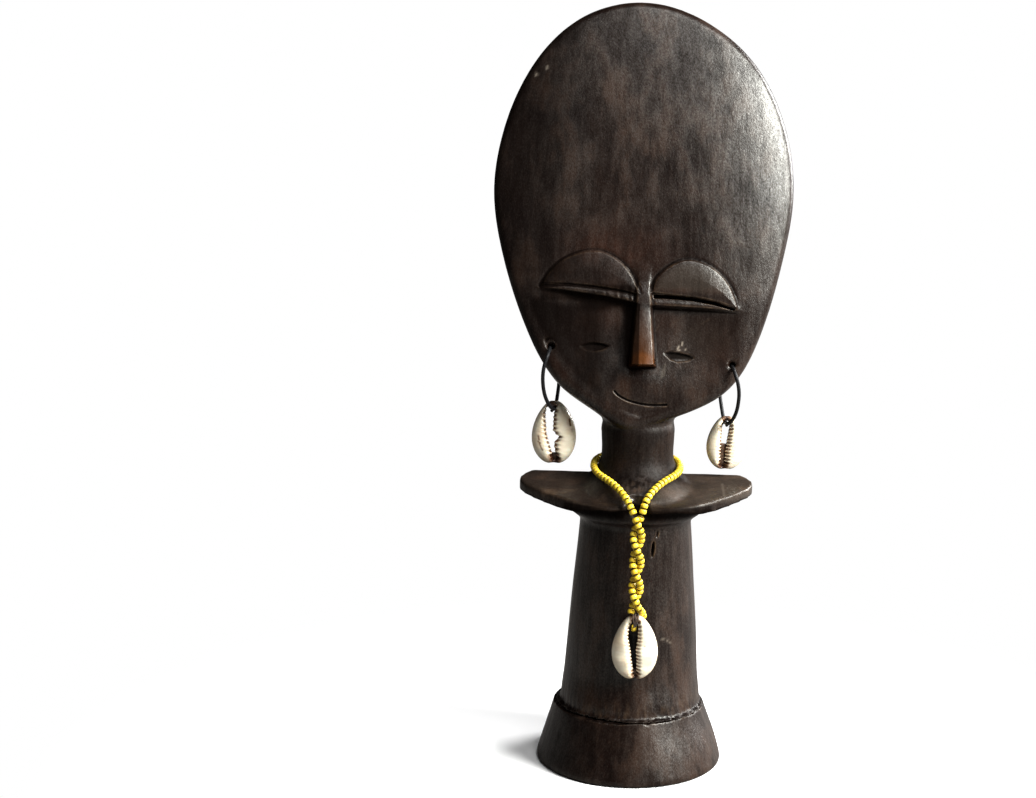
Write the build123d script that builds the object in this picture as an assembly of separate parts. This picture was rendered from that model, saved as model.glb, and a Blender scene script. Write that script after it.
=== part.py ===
from build123d import *
import math
import os

# Carved wooden fertility doll with cowrie earrings and a twisted seed-bead necklace.
# Millimetres. +Z is up, the doll faces -Y, +X is on the viewer's right.
# The origin is the centre of the base's underside.

# ---------------------------------------------------------------- driving sizes
BASE_RADIUS = 38.8
BASE_EDGE_RADIUS = 1.8
LEDGE_RADIUS = 31.8
LEDGE_HEIGHT = 24.4
LEDGE_STEP = 1.2
TORSO_FOOT_RADIUS = 28.4
TORSO_WAIST_RADIUS = 25.6
TORSO_TOP_RADIUS = 22.7
TORSO_WAIST_HEIGHT = 66.0
TORSO_TOP_HEIGHT = 101.5

ARM_SPAN = 94.8
ARM_PRISM_FOOT = 98.0
ARM_FRONT_Y = -28.8
ARM_CREST = (6.0, 118.8)
ARM_SLOPE_FRONT = 12.0
ARM_SLOPE_BACK = 14.0
ARM_EDGE_ROUNDING = 1.0
NOTCH_DEPTH = 4.5
NOTCH_HALF_WIDTH = 6.0
NOTCH_MOUTH_Y = -34.0
NOTCH_FOOT = 104.0
NOTCH_RISE = 14.0

NECK_RADIUS = 14.5
NECK_TOP_HEIGHT = 141.0

HEAD_LEAN = 10.0
HEAD_WIDTH = 120.4
HEAD_LENGTH = 170.8
HEAD_THICKNESS = 26.0
HEAD_FOOT = (0.0, -6.0, 139.0)
HEAD_RIM_ROUNDING = 4.0
HEAD_SLAB_HALF = 16.0
DOME_CENTRE = 74.0
DOME_WIDTH = 66.0
DOME_LENGTH = 112.0
LID_HEIGHT = 1.6
NOSE_CENTRE = 0.4
NOSE_BRIDGE_PLACE = 57.0
NOSE_BRIDGE_WIDTH = 6.4
NOSE_BRIDGE_RISE = 5.0
NOSE_TIP_PLACE = 24.8
NOSE_TIP_WIDTH = 10.2
NOSE_TIP_RISE = 8.5
NOSE_ROOT = 8.0
GROOVE_DEPTH = 1.3
MOUTH_LINE = [(-9.7, 13.8), (-0.5, 9.6), (10.2, 9.4)]
MOUTH_WIDTH = 0.9

EAR_HOLE_RADIUS = 1.8
EAR_CORD_RADIUS = 0.75
EAR_KNOT_RADIUS = 1.7
EAR_CORD_DROP = 0.85
EAR_CORD_UNDER_BAR = 1.0
LEFT_EAR = (-35.8, 172.2)
RIGHT_EAR = (36.3, 166.7)
LEFT_KNOT = (-33.3, 6.5, 149.8)
RIGHT_KNOT = (35.0, 6.1, 145.6)

LEFT_SHELL = {"length": 25.8, "width": 18.0, "depth": 6.6, "centre": (-33.9, 0.0, 135.3), "turn": 0.0}
RIGHT_SHELL = {"length": 22.0, "width": 14.8, "depth": 6.0, "centre": (35.5, 0.0, 132.6), "turn": -5.0}
PENDANT_SHELL = {"length": 26.0, "width": 18.3, "depth": 6.8, "centre": (0.2, -32.4, 55.9), "turn": 0.0}
SHELL_WALL = 2.2
SHELL_DOME = 0.6
SHELL_ROUNDING = 1.2
SLOT_WIDTH = 2.6
SLOT_SHARE = 0.86

BEAD_RADIUS = 1.5
BEAD_LENGTH = 2.0
BEAD_PITCH = 2.22
BEAD_HOLE_RADIUS = 0.55
BEAD_ROUNDING = 0.6
THREAD_RADIUS = 0.25

TWIST_CENTRE_Y = -31.0
TWIST_RADIUS = 1.75
TWIST_LEAD = 20.4
TWIST_FRONT_HEIGHT = 105.4
TWIST_TOP = 108.4
TWIST_FOOT = 69.3
TWIST_STEP_DEGREES = 40.0
NECK_THREAD_FOOT = 109.3


# ---------------------------------------------------------------- small helpers
def as_vector(point):
    return Vector(*point)


def corner_radii(points, share=0.45, largest=60.0):
    """The largest tangent arc that each corner's two runs allow."""
    radii = []
    for before, corner, after in zip(points, points[1:], points[2:]):
        first = as_vector(corner) - as_vector(before)
        second = as_vector(after) - as_vector(corner)
        half_turn = math.radians(first.get_angle(second)) / 2
        shorter = min(first.length, second.length)
        radii.append(min(largest, share * shorter / math.tan(half_turn)))
    return radii


def cord_path(name, points):
    """Straight runs joined by tangent arcs."""
    radii = corner_radii(points)
    print(name, "radii", [round(radius, 1) for radius in radii])
    return FilletPolyline(*points, radius=radii)


def cord_tube(name, points, radius):
    path = cord_path(name, points)
    section = Plane(origin=path @ 0, z_dir=path % 0) * Circle(radius)
    tube = sweep(section, path=path)
    expected = math.pi * radius**2 * path.length
    print(name, "length", round(path.length, 1), "volume share", round(tube.volume / expected, 3))
    return tube, path


def bead():
    """One short glass bead about its own Z axis, with a bore for the thread."""
    middle = (BEAD_RADIUS + BEAD_HOLE_RADIUS) / 2
    wall = Pos(middle, 0) * Rectangle(BEAD_RADIUS - BEAD_HOLE_RADIUS, BEAD_LENGTH)
    outer_corners = wall.vertices().sort_by(Axis.X)[-2:]
    wall = fillet(outer_corners, BEAD_ROUNDING)
    return revolve(Plane.XZ * wall, axis=Axis.Z)


def string_of_beads(path, first=1.1, last=1.1):
    """Beads spaced evenly along a thread, each one square to it."""
    count = int((path.length - first - last) / BEAD_PITCH) + 1
    spare = path.length - first - last - (count - 1) * BEAD_PITCH
    one = bead()
    placed = []
    for index in range(count):
        share = (first + spare / 2 + index * BEAD_PITCH) / path.length
        placed.append(Plane(origin=path @ share, z_dir=path % share) * one)
    print("beads", count)
    return Compound(children=placed)


# ---------------------------------------------------------------- the carved block
def base_and_torso():
    """A flared skirt with a narrow ledge, then a column that tapers upwards."""
    with BuildSketch(Plane.XZ) as profile:
        with BuildLine():
            Polyline(
                (0, 0),
                (BASE_RADIUS, 0),
                (LEDGE_RADIUS, LEDGE_HEIGHT),
                (TORSO_FOOT_RADIUS, LEDGE_HEIGHT + LEDGE_STEP),
            )
            Spline(
                (TORSO_FOOT_RADIUS, LEDGE_HEIGHT + LEDGE_STEP),
                (TORSO_WAIST_RADIUS, TORSO_WAIST_HEIGHT),
                (TORSO_TOP_RADIUS, TORSO_TOP_HEIGHT),
            )
            Polyline(
                (TORSO_TOP_RADIUS, TORSO_TOP_HEIGHT),
                (TORSO_TOP_RADIUS, TORSO_TOP_HEIGHT + 10),
                (0, TORSO_TOP_HEIGHT + 10),
                (0, 0),
            )
        make_face()
        fillet(profile.vertices().sort_by(Axis.X)[-1], BASE_EDGE_RADIUS)
    return revolve(profile.sketch, axis=Axis.Z)


def arm_plan():
    """Two leaf-shaped lobes, seen from above: the tips at the sides, the wide part in front."""
    half = ARM_SPAN / 2
    front = [(9.0, ARM_FRONT_Y), (18.5, -27.2), (31.5, -19.5), (40.5, -12.3), (half - 1.4, -6.0)]
    back = [(half, -0.5), (half - 3.0, 5.5), (34.0, 14.0), (18.0, 22.4)]
    right = front + back
    left = [(-x, y) for x, y in reversed(right)]
    outline = [(0.0, -27.2)] + right + [(0.0, 24.6)] + left
    return make_face(Spline(*outline, periodic=True))


def arm_prism(top):
    return Pos(0, 0, ARM_PRISM_FOOT) * extrude(arm_plan(), top - ARM_PRISM_FOOT)


def slope_cut(degrees):
    """A block over the arms, with its underside through the crest and tilted by so many degrees."""
    y, z = ARM_CREST
    return Pos(0, y, z) * Rot(degrees, 0, 0) * Pos(0, 0, 20) * Box(140, 160, 40)


def arms():
    """The lobes' top slopes away to the front and the back, and their underside rises to the tips."""
    bowl_profile = make_face(
        Polyline(
            (0, TORSO_TOP_HEIGHT),
            (TORSO_TOP_RADIUS, TORSO_TOP_HEIGHT),
            (28.8, 106.3),
            (47.0, 112.0),
            (60, 114),
            (60, 130),
            (0, 130),
            close=True,
        )
    )
    bowl = revolve(Plane.XZ * bowl_profile, axis=Axis.Z)
    lobes = arm_prism(128) & bowl
    lobes = lobes - slope_cut(ARM_SLOPE_FRONT) - slope_cut(-ARM_SLOPE_BACK)
    top_faces = lobes.faces().sort_by(Axis.Z)[-2:]
    rim = [edge for face in top_faces for edge in face.edges() if edge.geom_type != GeomType.LINE]
    return fillet(rim, ARM_EDGE_ROUNDING)


def neck():
    """A smooth round neck that flares on to the arms and fades out inside the back of the head."""
    with BuildSketch(Plane.XZ) as profile:
        with BuildLine():
            Polyline((0, 180), (0, 106), (25.5, 106), (27.3, 112.4))
            Spline(
                (27.3, 112.4),
                (22.0, 117.0),
                (17.1, 121.5),
                (15.2, 125.2),
                (14.7, 130.0),
                (NECK_RADIUS, NECK_TOP_HEIGHT),
            )
            Spline((NECK_RADIUS, NECK_TOP_HEIGHT), (13.6, 152.0), (9.5, 168.0), (0, 180))
        make_face()
    return revolve(profile.sketch, axis=Axis.Z) & arm_prism(190)


def head_plane():
    """Lies in the middle of the head: its X runs across, its Y up the leaning head, its Z out of the face."""
    lean = math.radians(HEAD_LEAN)
    return Plane(origin=HEAD_FOOT, x_dir=(1, 0, 0), z_dir=(0, -math.cos(lean), math.sin(lean)))


def head_outline():
    half = HEAD_WIDTH / 2
    top = HEAD_LENGTH
    right_jaw = [(20.0, 6.8), (34.0, 14.8), (47.0, 36.0), (56.0, 67.5)]
    right_crown = [(half, 95.0), (56.3, 122.5), (43.5, 147.5), (23.0, 164.0)]
    left_crown = [(-26.0, 164.5), (-45.0, 146.0), (-56.5, 120.0), (-half, 95.0)]
    left_jaw = [(-56.3, 69.0), (-45.8, 38.5), (-31.0, 15.5), (-17.0, 5.8)]
    around = right_jaw + right_crown + [(-2.0, top)] + left_crown + left_jaw
    return make_face(Spline((0.0, -1.0), *around, periodic=True))


def lens(thickness):
    """The flat egg that gives the head's front and back their slight dome."""
    return head_plane() * Pos(0, DOME_CENTRE, 0) * scale(Sphere(1), by=(DOME_WIDTH, DOME_LENGTH, thickness / 2))


def head_block():
    slab = head_plane() * extrude(head_outline(), HEAD_SLAB_HALF, both=True)
    head = slab & lens(HEAD_THICKNESS)
    rims = head.edges().filter_by(lambda edge: edge.length > 200)
    return fillet(rims, HEAD_RIM_ROUNDING)


def on_face(sketch, depth=14.0, start=7.0):
    """A prism that stands on the face, from inside the head outwards."""
    return head_plane() * Pos(0, 0, start) * extrude(sketch, depth)


def eyelid(inner, outer, top):
    """A half-moon lid that bulges a little from the forehead."""
    arch = ThreePointArc(inner, top, outer)
    lid = make_face(arch + Line(outer, inner))
    return on_face(lid) & lens(HEAD_THICKNESS + 2 * LID_HEIGHT)


def nose_section(place, width, rise):
    """A rectangle across the nose, from inside the head out to its ridge."""
    section = Plane(origin=(NOSE_CENTRE, place, NOSE_ROOT), x_dir=(1, 0, 0), z_dir=(0, 1, 0))
    return head_plane() * section * Pos(0, -rise / 2) * Rectangle(width, rise)


def nose():
    """A straight ridge that widens and rises to a square-cut tip."""
    bridge = nose_section(NOSE_BRIDGE_PLACE, NOSE_BRIDGE_WIDTH, NOSE_BRIDGE_RISE)
    tip = nose_section(NOSE_TIP_PLACE, NOSE_TIP_WIDTH, NOSE_TIP_RISE)
    return loft([bridge, tip], ruled=True)


def leaf_cut(start, end, swell):
    """A shallow leaf-shaped nick, as the carver's gouge leaves it."""
    middle = ((start[0] + end[0]) / 2, (start[1] + end[1]) / 2)
    upper = ThreePointArc(start, (middle[0], middle[1] + 0.3 * swell), end)
    lower = ThreePointArc(end, (middle[0], middle[1] - swell), start)
    return on_face(make_face(upper + lower)) - lens(HEAD_THICKNESS - 2 * GROOVE_DEPTH)


def mouth_cut():
    """A thin curved groove."""
    groove = trace(ThreePointArc(*MOUTH_LINE), line_width=MOUTH_WIDTH)
    return on_face(groove) - lens(HEAD_THICKNESS - 2 * GROOVE_DEPTH)


def ear_bore(place):
    return Pos(place[0], 0, place[1]) * Rot(90, 0, 0) * Cylinder(EAR_HOLE_RADIUS, 60)


def carved_figure():
    figure = base_and_torso() + arms() + neck() + head_block()
    figure = figure + eyelid((-2.0, 52.8), (-39.4, 56.0), (-20.0, 69.3))
    figure = figure + eyelid((3.6, 52.7), (37.5, 48.6), (19.0, 66.8))
    figure = figure + nose()
    notch = make_face(
        Polyline(
            (0, ARM_FRONT_Y + NOTCH_DEPTH),
            (NOTCH_HALF_WIDTH, NOTCH_MOUTH_Y),
            (-NOTCH_HALF_WIDTH, NOTCH_MOUTH_Y),
            close=True,
        )
    )
    figure = figure - Pos(0, 0, NOTCH_FOOT) * extrude(notch, NOTCH_RISE)
    figure = figure - leaf_cut((-24.3, 32.2), (-12.7, 32.2), 2.3)
    figure = figure - leaf_cut((9.1, 30.0), (21.1, 28.4), 2.5)
    figure = figure - mouth_cut()
    figure = figure - ear_bore(LEFT_EAR) - ear_bore(RIGHT_EAR)
    return figure


# ---------------------------------------------------------------- cowries
def egg(length, width):
    """A cowrie's outline: narrow at the top, widest a little below the middle."""
    half = width / 2
    right = [
        (0.62 * half, 0.36 * length),
        (0.96 * half, 0.06 * length),
        (0.9 * half, -0.22 * length),
        (0.45 * half, -0.44 * length),
    ]
    left = [(-x, y) for x, y in reversed(right)]
    return make_face(Spline((0, 0.5 * length), *right, (0, -0.5 * length), *left, periodic=True))


def cowrie(length, width, depth, centre, turn):
    """A shell with its mouth to the front and its back ground open."""
    dome = scale(Sphere(1), by=(SHELL_DOME * width, SHELL_DOME * length, depth))
    body = extrude(egg(length, width), depth) & dome
    rim = body.edges().filter_by(lambda edge: edge.length > 2 * length)
    body = fillet(rim.sort_by(Axis.Z)[-1], SHELL_ROUNDING)
    hollow = extrude(egg(length - 3.2 * SHELL_WALL, width - 2.6 * SHELL_WALL), depth - SHELL_WALL)
    mouth = Pos(0, 0, depth / 2) * extrude(SlotOverall(SLOT_SHARE * length, SLOT_WIDTH, rotation=90), depth, both=True)
    shell = body - hollow - mouth
    facing = Plane(origin=centre, x_dir=(1, 0, 0), z_dir=(0, -1, 0))
    return facing * Rot(0, turn, 0) * Pos(0, 0, -depth / 2) * shell


def shell_bar_height(shell):
    """The height of the mouth's upper end, which the cord hangs the shell from."""
    return shell["centre"][2] + SLOT_SHARE * shell["length"] / 2


# ---------------------------------------------------------------- ear cords
def left_ear_route():
    x, z = LEFT_EAR
    hole = z - EAR_CORD_DROP
    bar = shell_bar_height(LEFT_SHELL) - EAR_CORD_UNDER_BAR
    return [
        (-33.2, 6.4, 150.2),
        (-31.8, 8.8, 155.4),
        (-32.4, 13.4, 163.6),
        (x, 14.0, hole),
        (x, -14.2, hole),
        (-38.7, -15.0, 163.2),
        (-38.4, -11.0, 154.0),
        (-36.2, -6.6, 147.6),
        (-33.9, -4.6, bar),
        (-33.9, 4.4, bar),
        (-33.4, 6.6, 149.4),
    ]


def right_ear_route():
    x, z = RIGHT_EAR
    hole = z - EAR_CORD_DROP
    bar = shell_bar_height(RIGHT_SHELL) - EAR_CORD_UNDER_BAR
    return [
        (34.9, 6.0, 146.0),
        (33.0, 8.6, 151.0),
        (33.2, 13.2, 158.4),
        (x, 14.4, hole),
        (x, -14.6, hole),
        (39.2, -15.2, 157.4),
        (39.1, -11.0, 148.6),
        (37.6, -6.4, 143.0),
        (35.5, -4.2, bar),
        (35.5, 4.2, bar),
        (35.1, 6.2, 145.2),
    ]


def knot(place):
    """Where a cord's two ends are tied, behind the shell."""
    return Pos(*place) * scale(Sphere(EAR_KNOT_RADIUS), by=(1.0, 0.9, 1.15))


# ---------------------------------------------------------------- necklace
def twist_point(height, half_turn):
    """A point on one of the two strands, which turn round each other as they hang."""
    angle = 2 * math.pi * (TWIST_FRONT_HEIGHT - height) / TWIST_LEAD + half_turn * math.pi
    return (TWIST_RADIUS * math.sin(angle), TWIST_CENTRE_Y - TWIST_RADIUS * math.cos(angle), height)


def twist_route(half_turn):
    steps = round((TWIST_TOP - TWIST_FOOT) / TWIST_LEAD * 360 / TWIST_STEP_DEGREES)
    drop = (TWIST_TOP - TWIST_FOOT) / steps
    return [twist_point(TWIST_TOP - index * drop, half_turn) for index in range(steps + 1)]


def left_strand_route():
    return twist_route(0)


def right_strand_route():
    """The right strand leaves the twist early and ends behind the shell's shoulder."""
    return twist_route(1)[:-1] + [(2.9, -29.0, 69.8), (4.3, -26.8, 67.7)]


def neck_route():
    """Up the left of the throat, round the back of the neck and down the right."""
    return [
        twist_point(NECK_THREAD_FOOT, 0),
        (-3.6, -30.4, 113.4),
        (-6.6, -25.6, 117.6),
        (-11.2, -18.8, 121.0),
        (-16.2, -11.0, 123.0),
        (-18.0, -1.6, 125.2),
        (-16.2, 9.0, 126.2),
        (-9.4, 16.4, 126.4),
        (0.0, 18.9, 126.2),
        (9.4, 16.4, 126.4),
        (16.2, 9.0, 126.2),
        (18.0, -1.2, 125.4),
        (16.0, -10.8, 123.6),
        (9.8, -19.2, 121.1),
        (5.0, -25.8, 117.6),
        (2.2, -30.2, 113.2),
        twist_point(NECK_THREAD_FOOT, 1),
    ]


def pendant_tie():
    """The thread's wrapping round the shell's upper end."""
    x, y, _ = PENDANT_SHELL["centre"]
    middle = (shell_bar_height(PENDANT_SHELL) + PENDANT_SHELL["centre"][2] + PENDANT_SHELL["length"] / 2) / 2
    ring = scale(Torus(1.5, 0.3), by=(1.0, 1.75, 1.0))
    return Pos(x + 0.1, y + 1.4, middle) * Rot(0, 90, 0) * ring


def stopper_bead():
    x, y, _ = PENDANT_SHELL["centre"]
    return Pos(x - 0.6, y + 1.6, shell_bar_height(PENDANT_SHELL) - 3.4) * Rot(0, 90, 0) * bead()


# ---------------------------------------------------------------- assembly
def build():
    left_cord, _ = cord_tube("left_ear_cord", left_ear_route(), EAR_CORD_RADIUS)
    right_cord, _ = cord_tube("right_ear_cord", right_ear_route(), EAR_CORD_RADIUS)
    neck_thread, neck_path = cord_tube("neck_thread", neck_route(), THREAD_RADIUS)
    left_thread, left_path = cord_tube("left_strand_thread", left_strand_route(), THREAD_RADIUS)
    right_thread, right_path = cord_tube("right_strand_thread", right_strand_route(), THREAD_RADIUS)
    return {
        "carved_figure": carved_figure(),
        "left_ear_cord": left_cord,
        "left_ear_knot": knot(LEFT_KNOT),
        "left_ear_cowrie": cowrie(**LEFT_SHELL),
        "right_ear_cord": right_cord,
        "right_ear_knot": knot(RIGHT_KNOT),
        "right_ear_cowrie": cowrie(**RIGHT_SHELL),
        "neck_thread": neck_thread,
        "neck_beads": string_of_beads(neck_path),
        "left_strand_thread": left_thread,
        "left_strand_beads": string_of_beads(left_path),
        "right_strand_thread": right_thread,
        "right_strand_beads": string_of_beads(right_path),
        "pendant_cowrie": cowrie(**PENDANT_SHELL),
        "pendant_tie": pendant_tie(),
        "pendant_stopper_bead": stopper_bead(),
    }


os.makedirs("parts", exist_ok=True)
for node, shape in build().items():
    export_step(shape, "parts/" + node + ".step")
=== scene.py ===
import math
import random

import bmesh
import bpy
import numpy as np
from mathutils import Matrix, Vector, noise


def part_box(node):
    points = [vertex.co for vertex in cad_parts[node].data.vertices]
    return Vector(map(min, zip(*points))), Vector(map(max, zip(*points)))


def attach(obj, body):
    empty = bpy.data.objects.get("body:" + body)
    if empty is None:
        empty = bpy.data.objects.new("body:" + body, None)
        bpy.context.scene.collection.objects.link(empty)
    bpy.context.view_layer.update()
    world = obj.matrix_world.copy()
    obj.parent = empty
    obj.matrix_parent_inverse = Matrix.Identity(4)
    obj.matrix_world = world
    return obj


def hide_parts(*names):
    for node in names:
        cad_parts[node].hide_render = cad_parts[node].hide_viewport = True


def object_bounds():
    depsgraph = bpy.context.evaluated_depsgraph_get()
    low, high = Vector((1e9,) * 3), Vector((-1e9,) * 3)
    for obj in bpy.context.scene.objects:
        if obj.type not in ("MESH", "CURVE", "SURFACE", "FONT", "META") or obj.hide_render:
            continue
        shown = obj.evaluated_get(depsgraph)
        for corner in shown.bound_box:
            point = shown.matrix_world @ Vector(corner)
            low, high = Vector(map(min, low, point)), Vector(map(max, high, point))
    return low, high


# Carved wooden doll with cowrie earrings and a twisted seed-bead necklace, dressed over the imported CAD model.
# Routes and sizes below are in millimetres; MM turns them into Blender's metres.
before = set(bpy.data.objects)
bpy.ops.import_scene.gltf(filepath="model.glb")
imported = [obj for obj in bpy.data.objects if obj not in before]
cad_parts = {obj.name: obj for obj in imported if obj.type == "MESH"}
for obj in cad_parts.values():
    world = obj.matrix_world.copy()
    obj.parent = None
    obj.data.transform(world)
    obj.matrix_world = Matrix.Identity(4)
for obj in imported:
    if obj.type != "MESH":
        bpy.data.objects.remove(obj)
cad_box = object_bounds()
MM = 0.001

# ---------------------------------------------------------------- camera
CAMERA_PLACE = Vector((-0.02338, -0.66959, 0.254))
CAMERA_TARGET = Vector((0.0, 0.0, 0.152))
CAMERA_ROLL = math.radians(1.7)
CAMERA_LENS = 58.41
CAMERA_SHIFT = (-0.1168, -0.0048)


def add_camera():
    camera = bpy.data.objects.new("camera", bpy.data.cameras.new("camera"))
    camera.data.lens = CAMERA_LENS
    camera.data.sensor_width = 36.0
    camera.data.sensor_fit = "HORIZONTAL"
    camera.data.shift_x, camera.data.shift_y = CAMERA_SHIFT
    camera.data.clip_start = 0.01
    camera.data.dof.use_dof = False
    forward = (CAMERA_TARGET - CAMERA_PLACE).normalized()
    right = forward.cross(Vector((0, 0, 1))).normalized()
    up = right.cross(forward)
    x_axis = right * math.cos(CAMERA_ROLL) + up * math.sin(CAMERA_ROLL)
    y_axis = up * math.cos(CAMERA_ROLL) - right * math.sin(CAMERA_ROLL)
    turned = Matrix((x_axis, y_axis, -forward)).transposed().to_4x4()
    camera.matrix_world = Matrix.Translation(CAMERA_PLACE) @ turned
    bpy.context.scene.collection.objects.link(camera)
    bpy.context.scene.camera = camera


add_camera()


# ---------------------------------------------------------------- mesh helpers
def link(obj):
    bpy.context.scene.collection.objects.link(obj)
    return obj


def smooth_shaded(mesh):
    mesh.polygons.foreach_set("use_smooth", [True] * len(mesh.polygons))
    mesh.update()


def mesh_object(name, vertices, faces, **masks):
    """A smooth mesh piece from millimetre points; each mask is one number per vertex for its material."""
    mesh = bpy.data.meshes.new(name)
    mesh.from_pydata([tuple(c * MM for c in v) for v in vertices], [], faces)
    for label, values in masks.items():
        mesh.attributes.new(label, "FLOAT", "POINT").data.foreach_set("value", values)
    smooth_shaded(mesh)
    return link(bpy.data.objects.new(name, mesh))


def closed_strip(rings, wrap=False):
    """Quads between rings of the same length, each ring closed."""
    around = len(rings[0])
    faces = []
    last = len(rings) if wrap else len(rings) - 1
    for i in range(last):
        j = (i + 1) % len(rings)
        for k in range(around):
            n = (k + 1) % around
            faces.append((i * around + k, i * around + n, j * around + n, j * around + k))
    return [tuple(p) for ring in rings for p in ring], faces


# ---------------------------------------------------------------- cord routes
LEFT_EAR = (-35.8, 172.2)
RIGHT_EAR = (36.3, 166.7)
EAR_CORD_DIAMETER = 1.5
THREAD_DIAMETER = 0.5
BEAD_PITCH = 2.22

LEFT_EAR_ROUTE = [
    (-33.4, 6.6, 146.2),
    (-32.2, 8.4, 154.2),
    (-32.4, 13.4, 163.6),
    (-35.8, 14.0, 171.35),
    (-35.8, -14.2, 171.35),
    (-38.7, -15.0, 163.2),
    (-38.4, -11.0, 154.0),
    (-36.2, -6.6, 147.6),
    (-33.9, -4.6, 145.39),
    (-33.9, 4.4, 145.39),
    (-33.9, 6.2, 145.6),
]
RIGHT_EAR_ROUTE = [
    (35.0, 6.2, 141.9),
    (33.4, 8.2, 149.6),
    (33.2, 13.2, 158.4),
    (36.3, 14.4, 165.85),
    (36.3, -14.6, 165.85),
    (39.2, -15.2, 157.4),
    (39.1, -11.0, 148.6),
    (37.6, -6.4, 143.0),
    (35.5, -4.2, 141.06),
    (35.5, 4.2, 141.06),
    (35.5, 6.0, 141.3),
]

TWIST_CENTRE_Y = -31.0
TWIST_RADIUS = 1.75
TWIST_LEAD = 20.4
TWIST_FRONT_HEIGHT = 105.4
TWIST_TOP = 108.4
TWIST_FOOT = 69.3
TWIST_STEP_DEGREES = 40.0
NECK_THREAD_FOOT = 109.3


def twist_point(height, half_turn):
    """A point on one of the two strands, which turn round each other as they hang."""
    angle = 2 * math.pi * (TWIST_FRONT_HEIGHT - height) / TWIST_LEAD + half_turn * math.pi
    return (TWIST_RADIUS * math.sin(angle), TWIST_CENTRE_Y - TWIST_RADIUS * math.cos(angle), height)


def twist_route(half_turn):
    steps = round((TWIST_TOP - TWIST_FOOT) / TWIST_LEAD * 360 / TWIST_STEP_DEGREES)
    drop = (TWIST_TOP - TWIST_FOOT) / steps
    return [twist_point(TWIST_TOP - index * drop, half_turn) for index in range(steps + 1)]


LEFT_STRAND_ROUTE = twist_route(0)
RIGHT_STRAND_ROUTE = twist_route(1)[:-1] + [(2.7, -29.2, 69.9), (3.5, -27.2, 67.0)]
NECK_ROUTE = [
    twist_point(NECK_THREAD_FOOT, 0),
    (-3.6, -30.4, 113.4),
    (-6.6, -25.6, 117.2),
    (-11.4, -19.0, 120.0),
    (-16.4, -11.4, 121.4),
    (-17.8, -1.6, 122.9),
    (-16.2, 8.6, 124.0),
    (-9.4, 16.0, 124.8),
    (0.0, 18.4, 125.2),
    (9.4, 16.0, 124.8),
    (16.2, 8.6, 124.0),
    (17.8, -1.2, 123.0),
    (16.2, -11.2, 121.8),
    (10.0, -19.4, 120.2),
    (5.0, -25.8, 117.2),
    (2.2, -30.2, 113.2),
    twist_point(NECK_THREAD_FOOT, 1),
]


def spline_points(points):
    """The millimetre points along one open NURBS spline that has the route's points as its control points."""
    curve = bpy.data.curves.new("probe", "CURVE")
    curve.dimensions = "3D"
    curve.resolution_u = 12
    spline = curve.splines.new("NURBS")
    spline.points.add(len(points) - 1)
    for place, point in zip(spline.points, points):
        place.co = (point[0] * MM, point[1] * MM, point[2] * MM, 1.0)
    spline.order_u = 3
    spline.use_endpoint_u = True
    probe = link(bpy.data.objects.new("probe", curve))
    mesh = bpy.data.meshes.new_from_object(probe)
    found = [Vector(v.co) / MM for v in mesh.vertices]
    bpy.data.meshes.remove(mesh)
    bpy.data.objects.remove(probe)
    bpy.data.curves.remove(curve)
    return found


class Track:
    """Places and directions along a line, by length from its start."""

    def __init__(self, points):
        self.points = points
        self.reach = [0.0]
        for a, b in zip(points, points[1:]):
            self.reach.append(self.reach[-1] + (b - a).length)
        self.length = self.reach[-1]

    def at(self, distance):
        distance = min(max(distance, 0.0), self.length)
        index = 0
        while index < len(self.points) - 2 and self.reach[index + 1] < distance:
            index += 1
        span = self.reach[index + 1] - self.reach[index]
        share = (distance - self.reach[index]) / span
        return self.points[index].lerp(self.points[index + 1], share)

    def along(self, distance):
        return (self.at(distance + 0.4) - self.at(distance - 0.4)).normalized()


def carried_frames(track, step):
    """Centres and side directions along a track, turned as little as possible from one to the next."""
    count = max(2, round(track.length / step) + 1)
    places, sides = [], []
    side = track.along(0.0).orthogonal().normalized()
    for index in range(count):
        distance = track.length * index / (count - 1)
        ahead = track.along(distance)
        side = (side - ahead * side.dot(ahead)).normalized()
        places.append((distance, track.at(distance), ahead))
        sides.append(side.copy())
    return places, sides


# ---------------------------------------------------------------- cords
BRAID_STEP = 0.22
BRAID_AROUND = 18
BRAID_CARRIERS = 3
BRAID_LEAD = 4.6
BRAID_RELIEF = 0.09
KNOT_SIZE = 0.33
KNOT_CORD_DIAMETER = 1.05
KNOT_TAIL_DIAMETER = 1.25
KNOT_STEPS = 48


def braided_cord(name, points, diameter):
    """A round waxed cord whose plaited surface stands out in small lozenges."""
    places, sides = carried_frames(Track(points), BRAID_STEP)
    rings = []
    relief = []
    for (distance, centre, ahead), side in zip(places, sides):
        other = ahead.cross(side)
        phase = 2 * math.pi * distance / BRAID_LEAD
        ring = []
        for k in range(BRAID_AROUND):
            angle = 2 * math.pi * k / BRAID_AROUND
            left = math.cos(BRAID_CARRIERS * (angle + phase))
            right = math.cos(BRAID_CARRIERS * (angle - phase))
            lozenge = abs(left * right) ** 0.5
            radius = diameter / 2 * (1.0 - BRAID_RELIEF + BRAID_RELIEF * lozenge)
            ring.append(centre + (side * math.cos(angle) + other * math.sin(angle)) * radius)
            relief.append(lozenge)
        rings.append(ring)
    vertices, faces = closed_strip(rings)
    first_cap = range(BRAID_AROUND)
    last_cap = range(len(vertices) - BRAID_AROUND, len(vertices))
    faces += [tuple(reversed(first_cap)), tuple(last_cap)]
    faces = [tuple(reversed(face)) for face in faces]
    return mesh_object(name, vertices, faces, relief=relief)


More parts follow.
